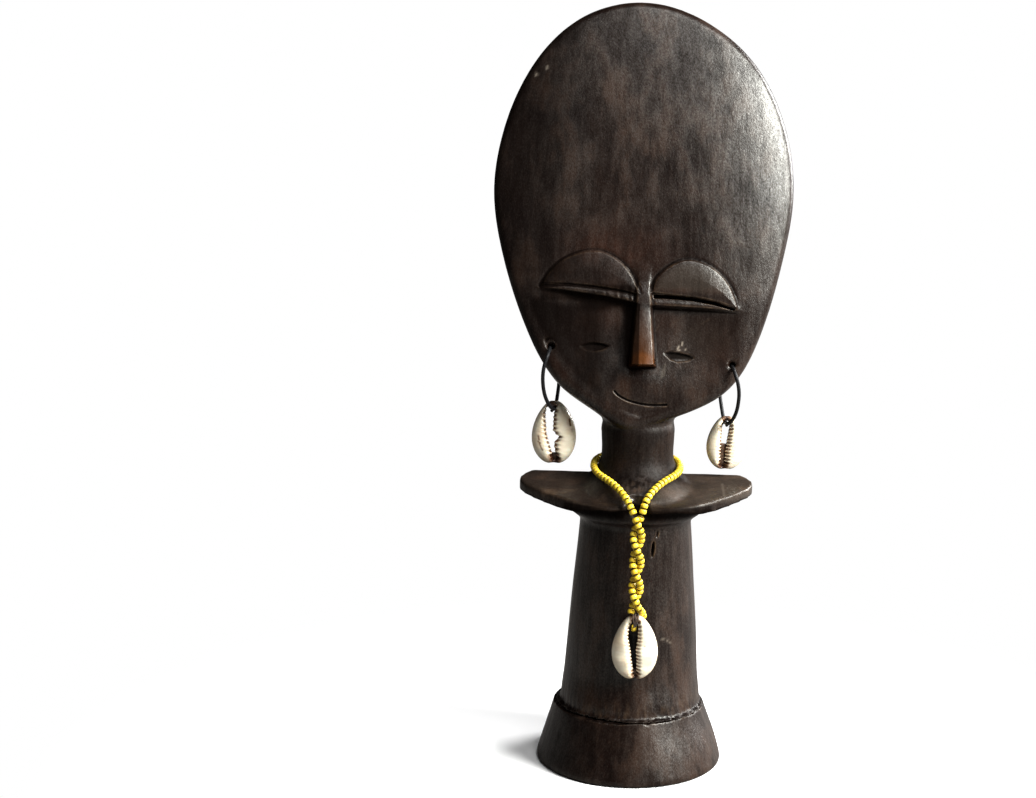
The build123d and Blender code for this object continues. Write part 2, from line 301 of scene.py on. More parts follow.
def trefoil(centre, size):
    """The path of the small overhand knot that ties a cord's two ends."""
    points = []
    for index in range(KNOT_STEPS + 1):
        t = 2 * math.pi * index / KNOT_STEPS
        x = math.sin(t) + 2 * math.sin(2 * t)
        y = -math.sin(3 * t)
        z = math.cos(t) - 2 * math.cos(2 * t)
        points.append(Vector(centre) + Vector((x * size, 0.75 * y * size, z * size)))
    return points


def join(name, objects):
    """One piece from several meshes of the same kind."""
    merged = bmesh.new()
    for obj in objects:
        merged.from_mesh(obj.data)
    mesh = bpy.data.meshes.new(name)
    merged.to_mesh(mesh)
    merged.free()
    for obj in objects:
        old = obj.data
        bpy.data.objects.remove(obj)
        bpy.data.meshes.remove(old)
    smooth_shaded(mesh)
    return link(bpy.data.objects.new(name, mesh))


def tied_knot(name, centre, tails):
    """The knot with the cord's two short ends standing out of it."""
    loops = [braided_cord("loop", trefoil(centre, KNOT_SIZE), KNOT_CORD_DIAMETER)]
    for tail in tails:
        start = Vector(centre)
        end = start + Vector(tail)
        bend = (start + end) / 2 + Vector((0.25, 0.2, 0.0))
        loops.append(braided_cord("tail", [start, bend, end], KNOT_TAIL_DIAMETER))
    return join(name, loops)


def ride_for(obj, body, node):
    """Fixes a piece to its body, where it stands for one CAD node."""
    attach(obj, body)
    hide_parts(node)


def declare_cord(points):
    Track(points).length * MM


def ear_cord(side, route, knot_centre, tails):
    """One cord through an ear hole and its shell, and the knot that ties its ends."""
    points = spline_points(route)
    cord = braided_cord(side + "_ear_braided_cord", points, EAR_CORD_DIAMETER)
    knot = tied_knot(side + "_ear_braided_knot_tied", knot_centre, tails)
    ride_for(cord, side + "_earring", side + "_ear_cord")
    ride_for(knot, side + "_earring", side + "_ear_knot")
    declare_cord(points)
    return [cord, knot]


left_cord_pieces = ear_cord(
    "left", LEFT_EAR_ROUTE, (-33.7, 6.6, 145.4), [(-1.6, 1.4, -2.6), (1.5, 1.0, -2.8)]
)
right_cord_pieces = ear_cord(
    "right", RIGHT_EAR_ROUTE, (35.3, 6.4, 141.1), [(-1.5, 1.2, -2.7), (1.4, 1.2, -2.6)]
)


# ---------------------------------------------------------------- beads and their threads
# Half of a bead's outline, from the hole's edge: distance from the thread's axis, and height along it.
BEAD_HALF_OUTLINE = [(0.5, 0.9), (0.85, 1.01), (1.12, 0.96), (1.3, 0.74), (1.45, 0.42)]
BEAD_PROFILE = [(radius, -height) for radius, height in BEAD_HALF_OUTLINE] + [(1.5, 0.0)]
BEAD_PROFILE += [(radius, height) for radius, height in reversed(BEAD_HALF_OUTLINE)] + [(0.45, 0.0)]
BEAD_AROUND = 22
BEAD_END_GAP = 1.1


def bead_rings(centre, ahead, spin, size, length, lean):
    """One slightly uneven glass bead, square to its thread."""
    side = ahead.orthogonal().normalized()
    side = (Matrix.Rotation(spin, 3, ahead) @ side).normalized()
    ahead = (ahead + side * lean).normalized()
    side = (side - ahead * side.dot(ahead)).normalized()
    other = ahead.cross(side)
    rings = []
    for radius, height in BEAD_PROFILE:
        ring = []
        for k in range(BEAD_AROUND):
            angle = 2 * math.pi * k / BEAD_AROUND
            uneven = 1.0 + 0.02 * math.sin(2 * angle + spin) + 0.012 * math.sin(5 * angle + 3 * spin)
            outward = side * math.cos(angle) + other * math.sin(angle)
            ring.append(centre + outward * (radius * size * uneven) + ahead * (height * length))
        rings.append(ring)
    return rings


def string_of_beads(name, route, seed):
    """Beads that touch or nearly touch along a thread."""
    draw = random.Random(seed)
    track = Track(spline_points(route))
    count = int((track.length - 2 * BEAD_END_GAP) / BEAD_PITCH) + 1
    pitch = (track.length - 2 * BEAD_END_GAP) / (count - 1)
    vertices, faces, tone, edge = [], [], [], []
    # Painted shade at each bead's ends: near 1 at the ends, 0 round the middle.
    bead_end_shade = [abs(height) ** 3 for radius, height in BEAD_PROFILE for k in range(BEAD_AROUND)]
    for index in range(count):
        distance = BEAD_END_GAP + index * pitch
        rings = bead_rings(
            track.at(distance),
            track.along(distance),
            draw.uniform(0, 2 * math.pi),
            draw.uniform(0.95, 1.0),
            draw.uniform(0.97, 1.02),
            draw.uniform(-0.06, 0.06),
        )
        more, quads = closed_strip(rings, wrap=True)
        start = len(vertices)
        vertices += more
        faces += [tuple(start + i for i in quad) for quad in quads]
        tone += [draw.random()] * len(more)
        edge += bead_end_shade
    return mesh_object(name, vertices, faces, tone=tone, edge=edge)


def beaded_thread(name, route, body, seed):
    """A cotton thread and the yellow beads on it."""
    points = spline_points(route)
    thread = braided_cord(name + "_cotton_thread", points, THREAD_DIAMETER)
    beads = string_of_beads(name + "_yellow_beads", route, seed)
    ride_for(thread, body, name + "_thread")
    ride_for(beads, body, name + "_beads")
    declare_cord(points)
    return thread, beads


neck_pieces = beaded_thread("neck", NECK_ROUTE, "figure", 11)
left_pieces = beaded_thread("left_strand", LEFT_STRAND_ROUTE, "pendant_strands", 12)
right_pieces = beaded_thread("right_strand", RIGHT_STRAND_ROUTE, "pendant_strands", 13)


# ---------------------------------------------------------------- cowries
# Widths, shifts and marks are in millimetres from the shell's middle. A place along the mouth runs from -1 at
# its foot to 1 at its top. "turn" is in degrees, "teeth" sets how close the teeth stand, and "wall_top" says
# how far up the inner wall, dark brown with painted shade, can be seen through the mouth. The key before
# "seed" tints the whole shell a little towards brown.
LEFT_COWRIE = {
    "turn": 0.0,
    "wider": 0.0,
    "slot_left": [
        (-1, 0.0), (-0.9, 0.6), (-0.6, 0.8), (-0.2, 1.2), (0.3, 1.6), (0.7, 1.9), (0.92, 1.5), (1, 0.0),
    ],
    "slot_right": [
        (-1, 0.0), (-0.9, 0.7), (-0.44, 0.8), (-0.3, 1.4), (-0.2, 2.9), (-0.11, 3.3), (-0.02, 2.2),
        (0.04, 1.8), (0.08, 1.2), (0.6, 1.35), (0.85, 1.8), (0.95, 1.3), (1, 0.0),
    ],
    "slot_shift": [(-1, 0.7), (-0.5, -0.5), (0, -1.6), (1, -1.7)],
    "teeth": 13,
    "ridge": 0.28,
    "marks": [
        ((-6.2, -1.2), (-5.9, -2.6), 0.35),
        ((-6.3, -3.4), (-5.4, -3.9), 0.3),
        ((-5.7, -4.4), (-4.4, -6.9), 0.28),
        ((6.2, 5.8), (6.6, 3.4), 0.45),
    ],
    "foot_stain": 1.0,
    "bite": 0.26,
    "groove_stain": 0.6,
    "groove_reach": (0.75, 1.1),
    "wall_top": -0.74,
    "browning": 0.2,
    "seed": 3,
}
RIGHT_COWRIE = {
    "turn": -5.0,
    "wider": 1.2,
    "slot_left": [(-1, 0.0), (-0.9, 0.8), (-0.4, 1.0), (0.2, 1.2), (0.7, 1.5), (0.92, 1.2), (1, 0.0)],
    "slot_right": [(-1, 0.0), (-0.9, 0.8), (-0.4, 1.05), (0.2, 1.25), (0.7, 1.7), (0.92, 1.4), (1, 0.0)],
    "slot_shift": [(-1, -1.5), (-0.3, -1.5), (0.5, -0.8), (1, -0.4)],
    "teeth": 14,
    "ridge": 0.26,
    "marks": [((-4.6, -1.0), (-3.6, -0.6), 0.25)],
    "foot_stain": 0.7,
    "bite": 0.2,
    "groove_stain": 0.55,
    "groove_reach": (0.6, 1.5),
    "wall_top": -0.02,
    "browning": 0.12,
    "seed": 5,
}
PENDANT_COWRIE = {
    "turn": 0.0,
    "wider": 0.0,
    "slot_left": [
        (-1, 0.0), (-0.9, 0.5), (-0.4, 0.95), (-0.05, 1.15), (0.4, 2.0), (0.8, 1.9), (0.93, 1.1), (1, 0.0),
    ],
    "slot_right": [
        (-1, 0.0), (-0.9, 0.5), (-0.4, 0.85), (-0.05, 0.9), (0.4, 1.75), (0.8, 1.7), (0.93, 1.0), (1, 0.0),
    ],
    "slot_shift": [(-1, 0.4), (-0.5, -0.1), (0, -0.6), (0.5, -0.8), (1, -0.4)],
    "teeth": 16,
    "ridge": 0.18,
    "marks": [((3.6, 1.6), (4.0, 1.5), 0.3)],
    "foot_stain": 0.5,
    "bite": 0.16,
    "groove_stain": 0.46,
    "groove_reach": (0.8, 1.9),
    "wall_top": -0.8,
    "browning": 0.04,
    "seed": 8,
}
SIDE_STEPS = 120
FRONT_SHARES = [1 - (1 - i / 30) ** 1.25 for i in range(29)] + [0.99]
SLOT_REACH = 0.43
RIM_PLANE = 0.34
WALL_STEPS = 10
WALL_FOOT = -0.97
WALL_OVERLAP = 0.9
WALL_HEIGHTS = (0.42, 0.28)
MARK_WIDTH = 0.4


def spread(value, points):
    """Straight-line reading of a short list of (place, value) pairs."""
    return float(np.interp(value, [p[0] for p in points], [p[1] for p in points]))


def line_distance(u, v, points):
    """Distance from an open line."""
    nearest = np.full(u.shape, 1e9)
    for (ax, ay), (bx, by) in zip(points, points[1:]):
        dx, dy = bx - ax, by - ay
        t = np.clip(((u - ax) * dx + (v - ay) * dy) / max(dx * dx + dy * dy, 1e-9), 0.0, 1.0)
        nearest = np.minimum(nearest, np.hypot(u - ax - t * dx, v - ay - t * dy))
    return nearest


class Shell:
    """The size of one cowrie, from its CAD box, and where its own places lie."""

    def __init__(self, node, shape):
        low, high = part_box(node)
        size = (Vector(high) - Vector(low)) / MM
        self.shape = shape
        self.turn = math.radians(shape["turn"])
        self.width = size.x / math.cos(self.turn) + shape["wider"]
        self.depth = size.y - size.x * math.sin(abs(self.turn))
        self.length = size.z
        self.centre = (Vector(low) + Vector(high)) / 2 / MM
        self.centre.x += shape["wider"] / 2

    def place(self, across, up, height):
        """A point from its distances across, up, and out from the ground-open back."""
        forward = self.depth / 2 - height
        return (
            self.centre.x + across * math.cos(self.turn) + forward * math.sin(self.turn),
            self.centre.y + forward * math.cos(self.turn) - across * math.sin(self.turn),
            self.centre.z + up,
        )

    def column(self, q, hand):
        """One line over a lip, from the mouth to the rim and back inside, with its stain and gloss."""
        shape, depth = self.shape, self.depth
        opening = spread(q, shape["slot_right"] if hand > 0 else shape["slot_left"])
        tooth = math.cos(math.pi * shape["teeth"] * (q + 0.04 * hand))
        sharp = max(0.0, tooth) ** 0.7
        ends = min(1.0, (1 - abs(q)) * 7)
        slot_x = spread(q, shape["slot_shift"]) + hand * (opening + shape["bite"] * (0.55 - sharp) * ends)
        slot_y = q * SLOT_REACH * self.length
        angle = math.acos(max(-1.0, min(1.0, q)))
        narrow = 1.0 - 0.17 * math.cos(angle) - 0.05 * math.cos(2 * angle)
        rim_x = hand * self.width / 2 * math.sin(angle) ** 0.92 * narrow / 1.045
        notch = 0.045 * math.exp(-(((math.pi - angle) / 0.16) ** 2)) + 0.02 * math.exp(-((angle / 0.14) ** 2))
        rim_y = self.length / 2 * (math.cos(angle) - math.copysign(notch, q))
        lump = noise.noise(Vector((rim_x * 0.2 + shape["seed"], rim_y * 0.2, 0)))
        crest = depth * (0.93 + 0.05 * lump) * (1.0 - 0.3 * abs(q) ** 4)
        rim_height = RIM_PLANE * depth
        span = math.hypot(rim_x - slot_x, rim_y - slot_y)
        tooth_reach = 1.9 if hand > 0 else 1.4

        def surface(share):
            away = share * span
            bow = (1 - share**2.3) ** 0.55
            lip = 1.7 * math.exp(-((away / 1.0) ** 1.5))
            ridge = shape["ridge"] * (sharp - 0.6) * math.exp(-((away / tooth_reach) ** 2)) * ends
            return rim_height + (crest - rim_height) * bow - lip + ridge

        def lip_stain(away):
            reach = shape["groove_reach"][hand > 0]
            return (1.0 - sharp) * math.exp(-((away / reach) ** 2)) * shape["groove_stain"]

        # Each row is the share of the way from the mouth to the rim, the height, the staining and painted
        # shade, and the gloss. The first two rows turn into the mouth and the last ones line the inside of the
        # ground-open back, darker as painted shade.
        rows = [(0.02, max(0.6, surface(0.0) - 2.1), 1.0, 0.3), (0.0, surface(0.0) - 1.0, 0.95, 0.6)]
        rows += [(share, surface(share), lip_stain(share * span), 1.0) for share in FRONT_SHARES]
        rows += [
            (1.0, rim_height, 0.0, 1.0),
            (0.995, 0.22 * depth, 0.0, 1.0),
            (0.97, 0.1 * depth, 0.05, 1.0),
            (0.93, 0.0, 0.1, 0.4),
            (0.8, 0.0, 0.25, 0.3),
            (0.76, 0.12 * depth, 0.5, 0.3),
            (0.66, max(0.8, surface(0.66) - 1.9), 0.55, 0.4),
            (0.45, max(0.8, surface(0.45) - 2.1), 0.65, 0.4),
            (0.22, max(0.7, surface(0.22) - 2.2), 0.8, 0.4),
        ]
        end_stain = shape["foot_stain"] * max(0.0, min(1.0, (-q - 0.7) / 0.22))
        end_stain += 0.6 * max(0.0, min(1.0, (q - 0.86) / 0.1))
        patch = 0.5 + 0.5 * noise.noise(Vector((rim_x * 0.35, rim_y * 0.35, 2.0 + shape["seed"])))
        ring, stains, gloss = [], [], []
        for share, height, stain, shine in rows:
            x = slot_x + (rim_x - slot_x) * share
            y = slot_y + (rim_y - slot_y) * share
            stain = min(1.0, stain + end_stain * math.exp(-((abs(x - slot_x) / 1.6) ** 2)))
            if min(height, depth) > rim_height:
                for start, end, strength in shape["marks"]:
                    away = line_distance(np.array([x]), np.array([y]), [start, end])[0]
                    stain = min(1.0, stain + strength * math.exp(-((away / MARK_WIDTH) ** 2)))
            ring.append(self.place(x, y, min(height, depth)))
            # The whole shell is tinted a little towards brown, most on the left shell.
            stains.append(min(1.0, stain + shape["browning"] * (0.6 + 0.4 * patch)))
            gloss.append(shine)
        return ring, stains, gloss

    def wall_ring(self, q):
        """A cross-section of the wall inside the shell, behind the lower part of the mouth, dark brown as
        painted shade.
        """
        left = -spread(q, self.shape["slot_left"]) - WALL_OVERLAP
        right = spread(q, self.shape["slot_right"]) + WALL_OVERLAP
        shift = spread(q, self.shape["slot_shift"])
        front, back = WALL_HEIGHTS
        ring = []
        for x, height in ((left, front), (right, front), (right, back), (left, back)):
            ragged = 0.5 * math.sin(1.9 * x) * (q == self.shape["wall_top"])
            ring.append(self.place(shift + x, q * SLOT_REACH * self.length + ragged, height * self.depth))
        return ring


def cowrie(name, node, shape):
    """A cowrie seen from its mouth: two glossy lips with teeth, a rounded rim, and a back ground open."""
    shell = Shell(node, shape)
    places = [1 - 2 * i / SIDE_STEPS for i in range(SIDE_STEPS + 1)]
    around = [(q, 1) for q in places] + [(q, -1) for q in reversed(places[1:-1])]
    rings, stain, shine = [], [], []
    for q, hand in around:
        ring, stains, gloss = shell.column(q, hand)
        rings.append(ring)
        stain += stains
        shine += gloss
    vertices, faces = closed_strip(rings, wrap=True)

    rise = (shape["wall_top"] - WALL_FOOT) / WALL_STEPS
    wall = [shell.wall_ring(WALL_FOOT + rise * i) for i in range(WALL_STEPS)]
    wall.append(shell.wall_ring(shape["wall_top"]))
    start = len(vertices)
    more, quads = closed_strip(wall)
    vertices += more
    faces += [tuple(start + i for i in quad) for quad in quads]
    faces.append(tuple(start + i for i in (3, 2, 1, 0)))
    faces.append(tuple(len(vertices) - 4 + i for i in (0, 1, 2, 3)))
    # The inner wall's dark brown is painted shade inside the shell.
    stain += [0.72] * len(more)
    shine += [0.2] * len(more)
    return mesh_object(name, vertices, faces, stain=stain, shine=shine)


left_shell = cowrie("left_cowrie_shell", "left_ear_cowrie", LEFT_COWRIE)
right_shell = cowrie("right_cowrie_shell", "right_ear_cowrie", RIGHT_COWRIE)
pendant_shell = cowrie("pendant_cowrie_shell", "pendant_cowrie", PENDANT_COWRIE)
ride_for(left_shell, "left_shell", "left_ear_cowrie")
ride_for(right_shell, "right_shell", "right_ear_cowrie")
ride_for(pendant_shell, "pendant_shell", "pendant_cowrie")


# ---------------------------------------------------------------- pendant ties and stopper bead
TIE_DIAMETER = 0.5
# A tie starts at (across, forward or back, above the shell's top). Its other points are (across, behind the
# shell's front, above its top).
TIE_RUNS = [
    ((-0.9, -30.4, 0.5), [(-0.8, 1.9, 0.1), (-0.7, 0.6, -1.6), (-0.5, 1.4, -3.4), (-0.4, 3.2, -4.6)]),
    ((-0.1, -30.2, 0.6), [(0.1, 1.8, 0.2), (0.2, 0.5, -1.5), (-0.1, 1.2, -3.2), (-0.3, 3.2, -4.5)]),
    ((1.4, -30.0, 0.5), [(1.1, 1.9, 0.1), (0.9, 0.7, -1.4), (0.5, 1.6, -3.0), (0.0, 3.3, -4.4)]),
]


def pendant_ties():
    """Thin brown threads that run from the strands' ends over the shell's top and into its mouth."""
    low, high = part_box("pendant_cowrie")
    top = high[2] / MM
    front = low[1] / MM
    ties = []
    for start, run in TIE_RUNS:
        route = [(start[0], start[1], top + start[2])]
        route += [(across, front + behind, top + above) for across, behind, above in run]
        ties.append(braided_cord("tie", spline_points(route), TIE_DIAMETER))
    return join("pendant_brown_ties", ties)


def stopper_bead():
    """One bead across the shell's mouth, which holds the ties."""
    low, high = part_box("pendant_stopper_bead")
    centre = (Vector(low) + Vector(high)) / 2 / MM
    rings = bead_rings(centre, Vector((1, 0, 0)), 0.4, 0.98, 1.0, 0.03)
    vertices, faces = closed_strip(rings, wrap=True)
    return mesh_object("pendant_yellow_stopper", vertices, faces, tone=[0.5] * len(vertices))


ties = pendant_ties()
ride_for(ties, "pendant_shell", "pendant_tie")
stopper = stopper_bead()
ride_for(stopper, "pendant_shell", "pendant_stopper_bead")


# ---------------------------------------------------------------- the carved figure
# Places on the face are (across, up) from the head's foot, along the leaning head.
HEAD_LEAN = math.radians(10.0)
HEAD_FOOT = np.array((0.0, -6.0, 139.0))
HEAD_ACROSS = np.array((1.0, 0.0, 0.0))
HEAD_UP = np.array((0.0, math.sin(HEAD_LEAN), math.cos(HEAD_LEAN)))
HEAD_OUT = np.array((0.0, -math.cos(HEAD_LEAN), math.sin(HEAD_LEAN)))
DOME_CENTRE = 74.0
DOME_WIDTH = 66.0
DOME_LENGTH = 112.0
DOME_HEIGHT = 13.0

HEAD_OUTLINE = [
    (0.0, -1.0), (20.0, 6.8), (34.0, 14.8), (47.0, 36.0), (56.0, 67.5), (60.2, 95.0), (56.3, 122.5),
    (43.5, 147.5), (23.0, 164.0), (-2.0, 170.8), (-26.0, 164.5), (-45.0, 146.0), (-56.5, 120.0),
    (-60.2, 95.0), (-56.3, 69.0), (-45.8, 38.5), (-31.0, 15.5), (-17.0, 5.8),
]
LEFT_LID_TOP = [
    (-40.2, 55.6), (-36.8, 61.2), (-31.4, 66.0), (-23.4, 69.2), (-16.0, 69.2), (-8.9, 65.4), (-4.1, 59.7),
    (-1.4, 53.0),
]
LEFT_LID_FOOT = [(-2.2, 52.6), (-11.0, 54.4), (-20.8, 55.6), (-31.0, 56.4)]
RIGHT_LID_TOP = [
    (3.4, 53.4), (5.0, 59.0), (9.4, 63.6), (15.4, 66.6), (21.3, 66.6), (28.0, 63.8), (33.4, 58.6),
    (36.6, 52.6), (37.9, 48.0),
]
RIGHT_LID_FOOT = [(30.0, 50.4), (22.0, 51.8), (13.0, 52.4)]
LEFT_SLIT = [
    (-39.6, 56.6), (-30.0, 56.5), (-20.0, 55.7), (-10.0, 54.4), (-2.6, 52.9),
    (-2.6, 52.4), (-10.0, 53.8), (-20.0, 55.2), (-30.0, 56.1), (-39.6, 56.3),
]
RIGHT_SLIT = [
    (4.6, 52.6), (13.0, 52.4), (21.0, 51.7), (29.0, 50.4), (36.6, 48.0),
    (36.2, 47.5), (28.0, 49.5), (20.0, 50.8), (12.0, 51.4), (4.6, 51.5),
]
STRIP_FOOT = [
    (-42.0, 55.0), (-39.4, 54.6), (-30.6, 53.9), (-14.3, 51.8), (-6.1, 50.2), (0.0, 49.2), (4.9, 48.5),
    (16.5, 48.2), (27.0, 47.9), (37.5, 47.4), (42.0, 47.2),
]
CHEEK_DEPTH = 2.7
NOSE_CENTRE = 0.4
NOSE_TOP = 58.0
NOSE_FOOT = 24.6
LEFT_NICK = [
    (-24.3, 32.1), (-21.0, 33.2), (-17.5, 33.4), (-14.8, 33.0), (-12.7, 32.2), (-15.2, 30.6), (-18.5, 29.8),
    (-21.6, 30.4),
]
RIGHT_NICK = [
    (9.1, 30.0), (11.5, 30.5), (15.0, 30.1), (18.4, 29.4), (21.1, 28.4), (18.6, 27.0), (14.6, 26.4),
    (11.4, 27.6),
]
MOUTH = [(-10.2, 14.4), (-8.6, 12.8), (-5.8, 11.3), (-2.9, 10.3), (1.0, 9.5), (5.6, 9.2), (10.4, 9.5)]
FACE_SCRATCHES = [((11.0, 40.6), (18.8, 46.7)), ((17.0, 37.5), (27.0, 44.0)), ((3.5, 34.0), (7.0, 41.0))]

FIGURE_VOXEL = 0.9
FOOT_FLARE = 1.7
LEDGE_PULL = 1.3
FACE_TOP = 78.0
EAR_CORD_DROP = 0.85
ARM_CREST = 118.8
ARM_LEAN = math.radians(12.0)

# Reddish patches of the face: strength, place, and reach across and up.
WARM_PATCHES = [
    (0.95, (-17.0, 70.0), (17.0, 9.0)),
    (0.55, (0.0, 66.0), (14.0, 12.0)),
    (0.8, (-16.0, 42.0), (10.0, 7.0)),
    (0.7, (-33.0, 26.0), (6.0, 12.0)),
    (0.55, (30.0, 30.0), (10.0, 9.0)),
    (0.5, (9.0, 42.0), (4.0, 8.0)),
    (0.8, (20.0, 54.6), (15.0, 1.3)),
    (0.5, (-20.0, 56.4), (16.0, 1.6)),
]
# Pale dabs and scratches of the face: strength, start, end and half width.
PALE_STROKES = [
    (0.75, (16.1, 33.2), (16.3, 34.4), 0.28),
    (0.75, (14.4, 31.6), (14.9, 32.8), 0.36),
    (0.75, (17.5, 31.5), (17.7, 31.8), 0.3),
    (0.75, (14.9, 31.2), (15.4, 31.3), 0.25),
    (0.16, (8.2, 20.0), (8.6, 23.4), 0.4),
    (0.16, (9.2, 21.0), (9.6, 25.4), 0.4),
]
PALE_DOTS = [(-40.0, 142.8), (-44.2, 139.9)]
TORSO_SCRATCH = [(10.8, 57.4), (13.0, 56.6), (15.2, 54.8)]


def ease(low, high, value):
    """0 below low, 1 above high, and a smooth rise between."""
    t = np.clip((value - low) / (high - low), 0.0, 1.0)
    return t * t * (3.0 - 2.0 * t)


def between(value, low, full, last, high):
    """1 from full to last, easing to 0 at low and at high."""
    return ease(low, full, value) * ease(high, last, value)


def bell(distance, reach):
    """1 at no distance, falling smoothly away over the reach."""
    return np.exp(-((distance / reach) ** 2))


def spot(u, v, place, reach):
    """A soft oval patch, 1 at its place."""
    return np.exp(-(((u - place[0]) / reach[0]) ** 2) - ((v - place[1]) / reach[1]) ** 2)


def inside_distance(u, v, corners):
    """Distance from a closed outline, positive inside it."""
    inside = np.zeros(u.shape, bool)
    for (ax, ay), (bx, by) in zip(corners, corners[1:] + corners[:1]):
        rise = by - ay if by != ay else 1e-9
        inside ^= ((ay > v) != (by > v)) & (u < (bx - ax) * (v - ay) / rise + ax)
    distance = line_distance(u, v, corners + corners[:1])
    return np.where(inside, distance, -distance)


def rounded(points, steps=5):
    """A Catmull-Rom line through a few points."""
    ends = [points[0]] + list(points) + [points[-1]]
    found = []
    for p0, p1, p2, p3 in zip(ends, ends[1:], ends[2:], ends[3:]):
        for t in (step / steps for step in range(steps)):
            place = []
            for a, b, c, d in zip(p0, p1, p2, p3):
                curve = (2 * a - 5 * b + 4 * c - d) * t * t + (3 * b - a - 3 * c + d) * t**3
                place.append(0.5 * (2 * b + (c - a) * t + curve))
            found.append(tuple(place))
    return found + [tuple(points[-1])]


LEFT_LID = rounded(LEFT_LID_TOP) + rounded(LEFT_LID_FOOT)
RIGHT_LID = rounded(RIGHT_LID_TOP) + rounded(RIGHT_LID_FOOT)


def dome(u, v):
    """The head's smooth front, before the face is cut into it."""
    fall = (u / DOME_WIDTH) ** 2 + ((v - DOME_CENTRE) / DOME_LENGTH) ** 2
    return DOME_HEIGHT * np.sqrt(np.maximum(0.0, 1 - fall))


class FaceRelief:
    """How far the carved face stands out of the head's smooth dome, and the masks for its wood: its rubbed
    paleness and painted highlights, and its painted shade.
    """

    def __init__(self, u, v, margin):
        self.u = u
        self.v = v
        self.height = np.zeros(u.shape)
        self.wear_and_highlight = np.zeros(u.shape)
        self.dark = np.zeros(u.shape)
        self.above_strip = v - np.interp(u, [p[0] for p in STRIP_FOOT], [p[1] for p in STRIP_FOOT])
        self.sideways = ease(46.0, 20.0, np.abs(u + 1.0)) * ease(3.0, 14.0, margin)
        self.cheeks(margin)
        self.lids()
        self.strip()
        self.slits()
        self.nose()
        self.nicks()
        self.mouth()
        self.ear_chips()
        self.scratches()

    def cheeks(self, margin):
        """The face's lower half is cut back under the strip, with painted shade under the strip, in its
        corners, beside the nose on the left and over the left cheek.
        """
        u, v, below = self.u, self.v, -self.above_strip
        self.cheek = CHEEK_DEPTH * ease(-0.2, 1.3, below) * self.sideways * ease(12.0, 40.0, v)
        self.height -= self.cheek
        self.dark += 0.5 * ease(0.0, 0.6, below) * ease(4.0, 0.6, below) * self.sideways
        corner = bell(u + 15.0, 13.0) * (u < -3.0)
        self.dark += 0.9 * ease(0.0, 0.5, below) * ease(7.5, 1.0, below) * corner
        # Painted shadow of the nose on the left cheek, and painted shade over the left cheek.
        self.dark += 0.9 * ease(-9.5, -5.6, u) * (u < -1.0) * ease(22.0, 25.0, v) * ease(0.0, 1.0, below)
        self.dark += 0.85 * ease(-7.0, -20.0, u) * ease(53.0, 46.0, v) * ease(3.0, 9.0, margin)

    def lids(self):
        """Two raised half-moons with a groove round them, painted shade in the groove, and rubbed edges."""
        for lid, high in ((LEFT_LID, 1.3), (RIGHT_LID, 1.5)):
            depth = inside_distance(self.u, self.v, lid)
            swell = 1 - np.exp(-np.maximum(depth, 0.0) / 4.0)
            groove = 0.2 * bell(depth + 0.7, 0.5) * ease(50.0, 55.0, self.v)
            self.height += 0.55 * ease(-0.25, 0.6, depth) + (high - 0.3) * swell - groove
            self.dark += 0.55 * bell(depth + 0.6, 0.4) * ease(50.0, 56.0, self.v)
            self.wear_and_highlight += 0.6 * bell(depth - 0.3, 0.35)

    def strip(self):
        """The narrow band under both lids, ragged towards the nose on the left, with a painted highlight along
        its foot and painted shade in its ragged notches.
        """
        u, above = self.u, self.above_strip
        band = ease(-0.3, 0.4, above) * ease(57.0, 54.0, self.v) * ease(40.5, 38.0, np.abs(u + 1.0))
        band *= ease(3.2, 5.0, np.abs(u - NOSE_CENTRE))
        self.height += 0.35 * band * bell(above - 0.9, 1.2)
        self.wear_and_highlight += 0.45 * band * bell(above - 0.3, 0.3)
        ragged = band * ease(-26.0, -8.0, u) * (u < 0)
        wave = np.sin(2.1 * u + 0.8 * np.sin(1.3 * u))
        self.height -= 0.14 * ragged * wave * ease(2.2, 0.4, above)
        self.dark += 0.35 * ragged * (0.5 + 0.5 * wave)

    def slits(self):
        # Two eye slits cut in, darkened with painted shade.
        for slit, depth, width in ((RIGHT_SLIT, 2.4, 0.25), (LEFT_SLIT, 0.5, 0.1)):
            cut = ease(-width, 0.35, inside_distance(self.u, self.v, slit))
            self.height -= depth * cut
            self.dark += depth / 1.8 * cut

    def nose(self):
        """A long wedge that widens and rises to its foot, with rubbed edges and painted shade on its underside.
        """
        v = self.v
        across = np.abs(self.u - NOSE_CENTRE)
        down = np.clip((NOSE_TOP - v) / (NOSE_TOP - NOSE_FOOT), 0.0, 1.0)
        half = 2.4 + 2.5 * down
        rise = (0.9 + 4.7 * down) * ease(66.0, 52.0, v)
        foot = ease(23.9, 24.9, v)
        ridge = ease(half + 1.0, half - 0.5, across) * (1 - 0.1 * (across / half) ** 2)
        self.height += np.where(v > 23.5, (rise + self.cheek * foot) * ridge * foot, 0.0)
        self.wear_and_highlight += 0.6 * between(v, 24.5, 26.0, 50.0, 57.0) * bell(across - half + 0.1, 0.45)
        self.dark += 0.9 * between(v, 22.6, 23.8, 24.0, 24.6) * ease(half + 0.8, half - 0.2, across)

    def nicks(self):
        """Two almond cuts in the cheeks, deepest at their upper edge, with a pale lower rim and painted shade
        in their upper part.
        """
        for nick, pale, deep in ((LEFT_NICK, 0.3, 0.7), (RIGHT_NICK, 0.95, 1.3)):
            inside = inside_distance(self.u, self.v, nick)
            low = min(p[1] for p in nick)
            high = max(p[1] for p in nick)
            share = np.clip((self.v - low) / (high - low), 0.0, 1.0)
            self.height -= 1.5 * ease(-0.25, 0.45, inside) * (0.25 + 0.75 * share)
            self.wear_and_highlight += pale * bell(inside - 0.05, 0.28) * ease(0.7, 0.3, share)
            self.dark += deep * ease(0.15, 0.6, inside) * ease(0.1, 0.6, share)

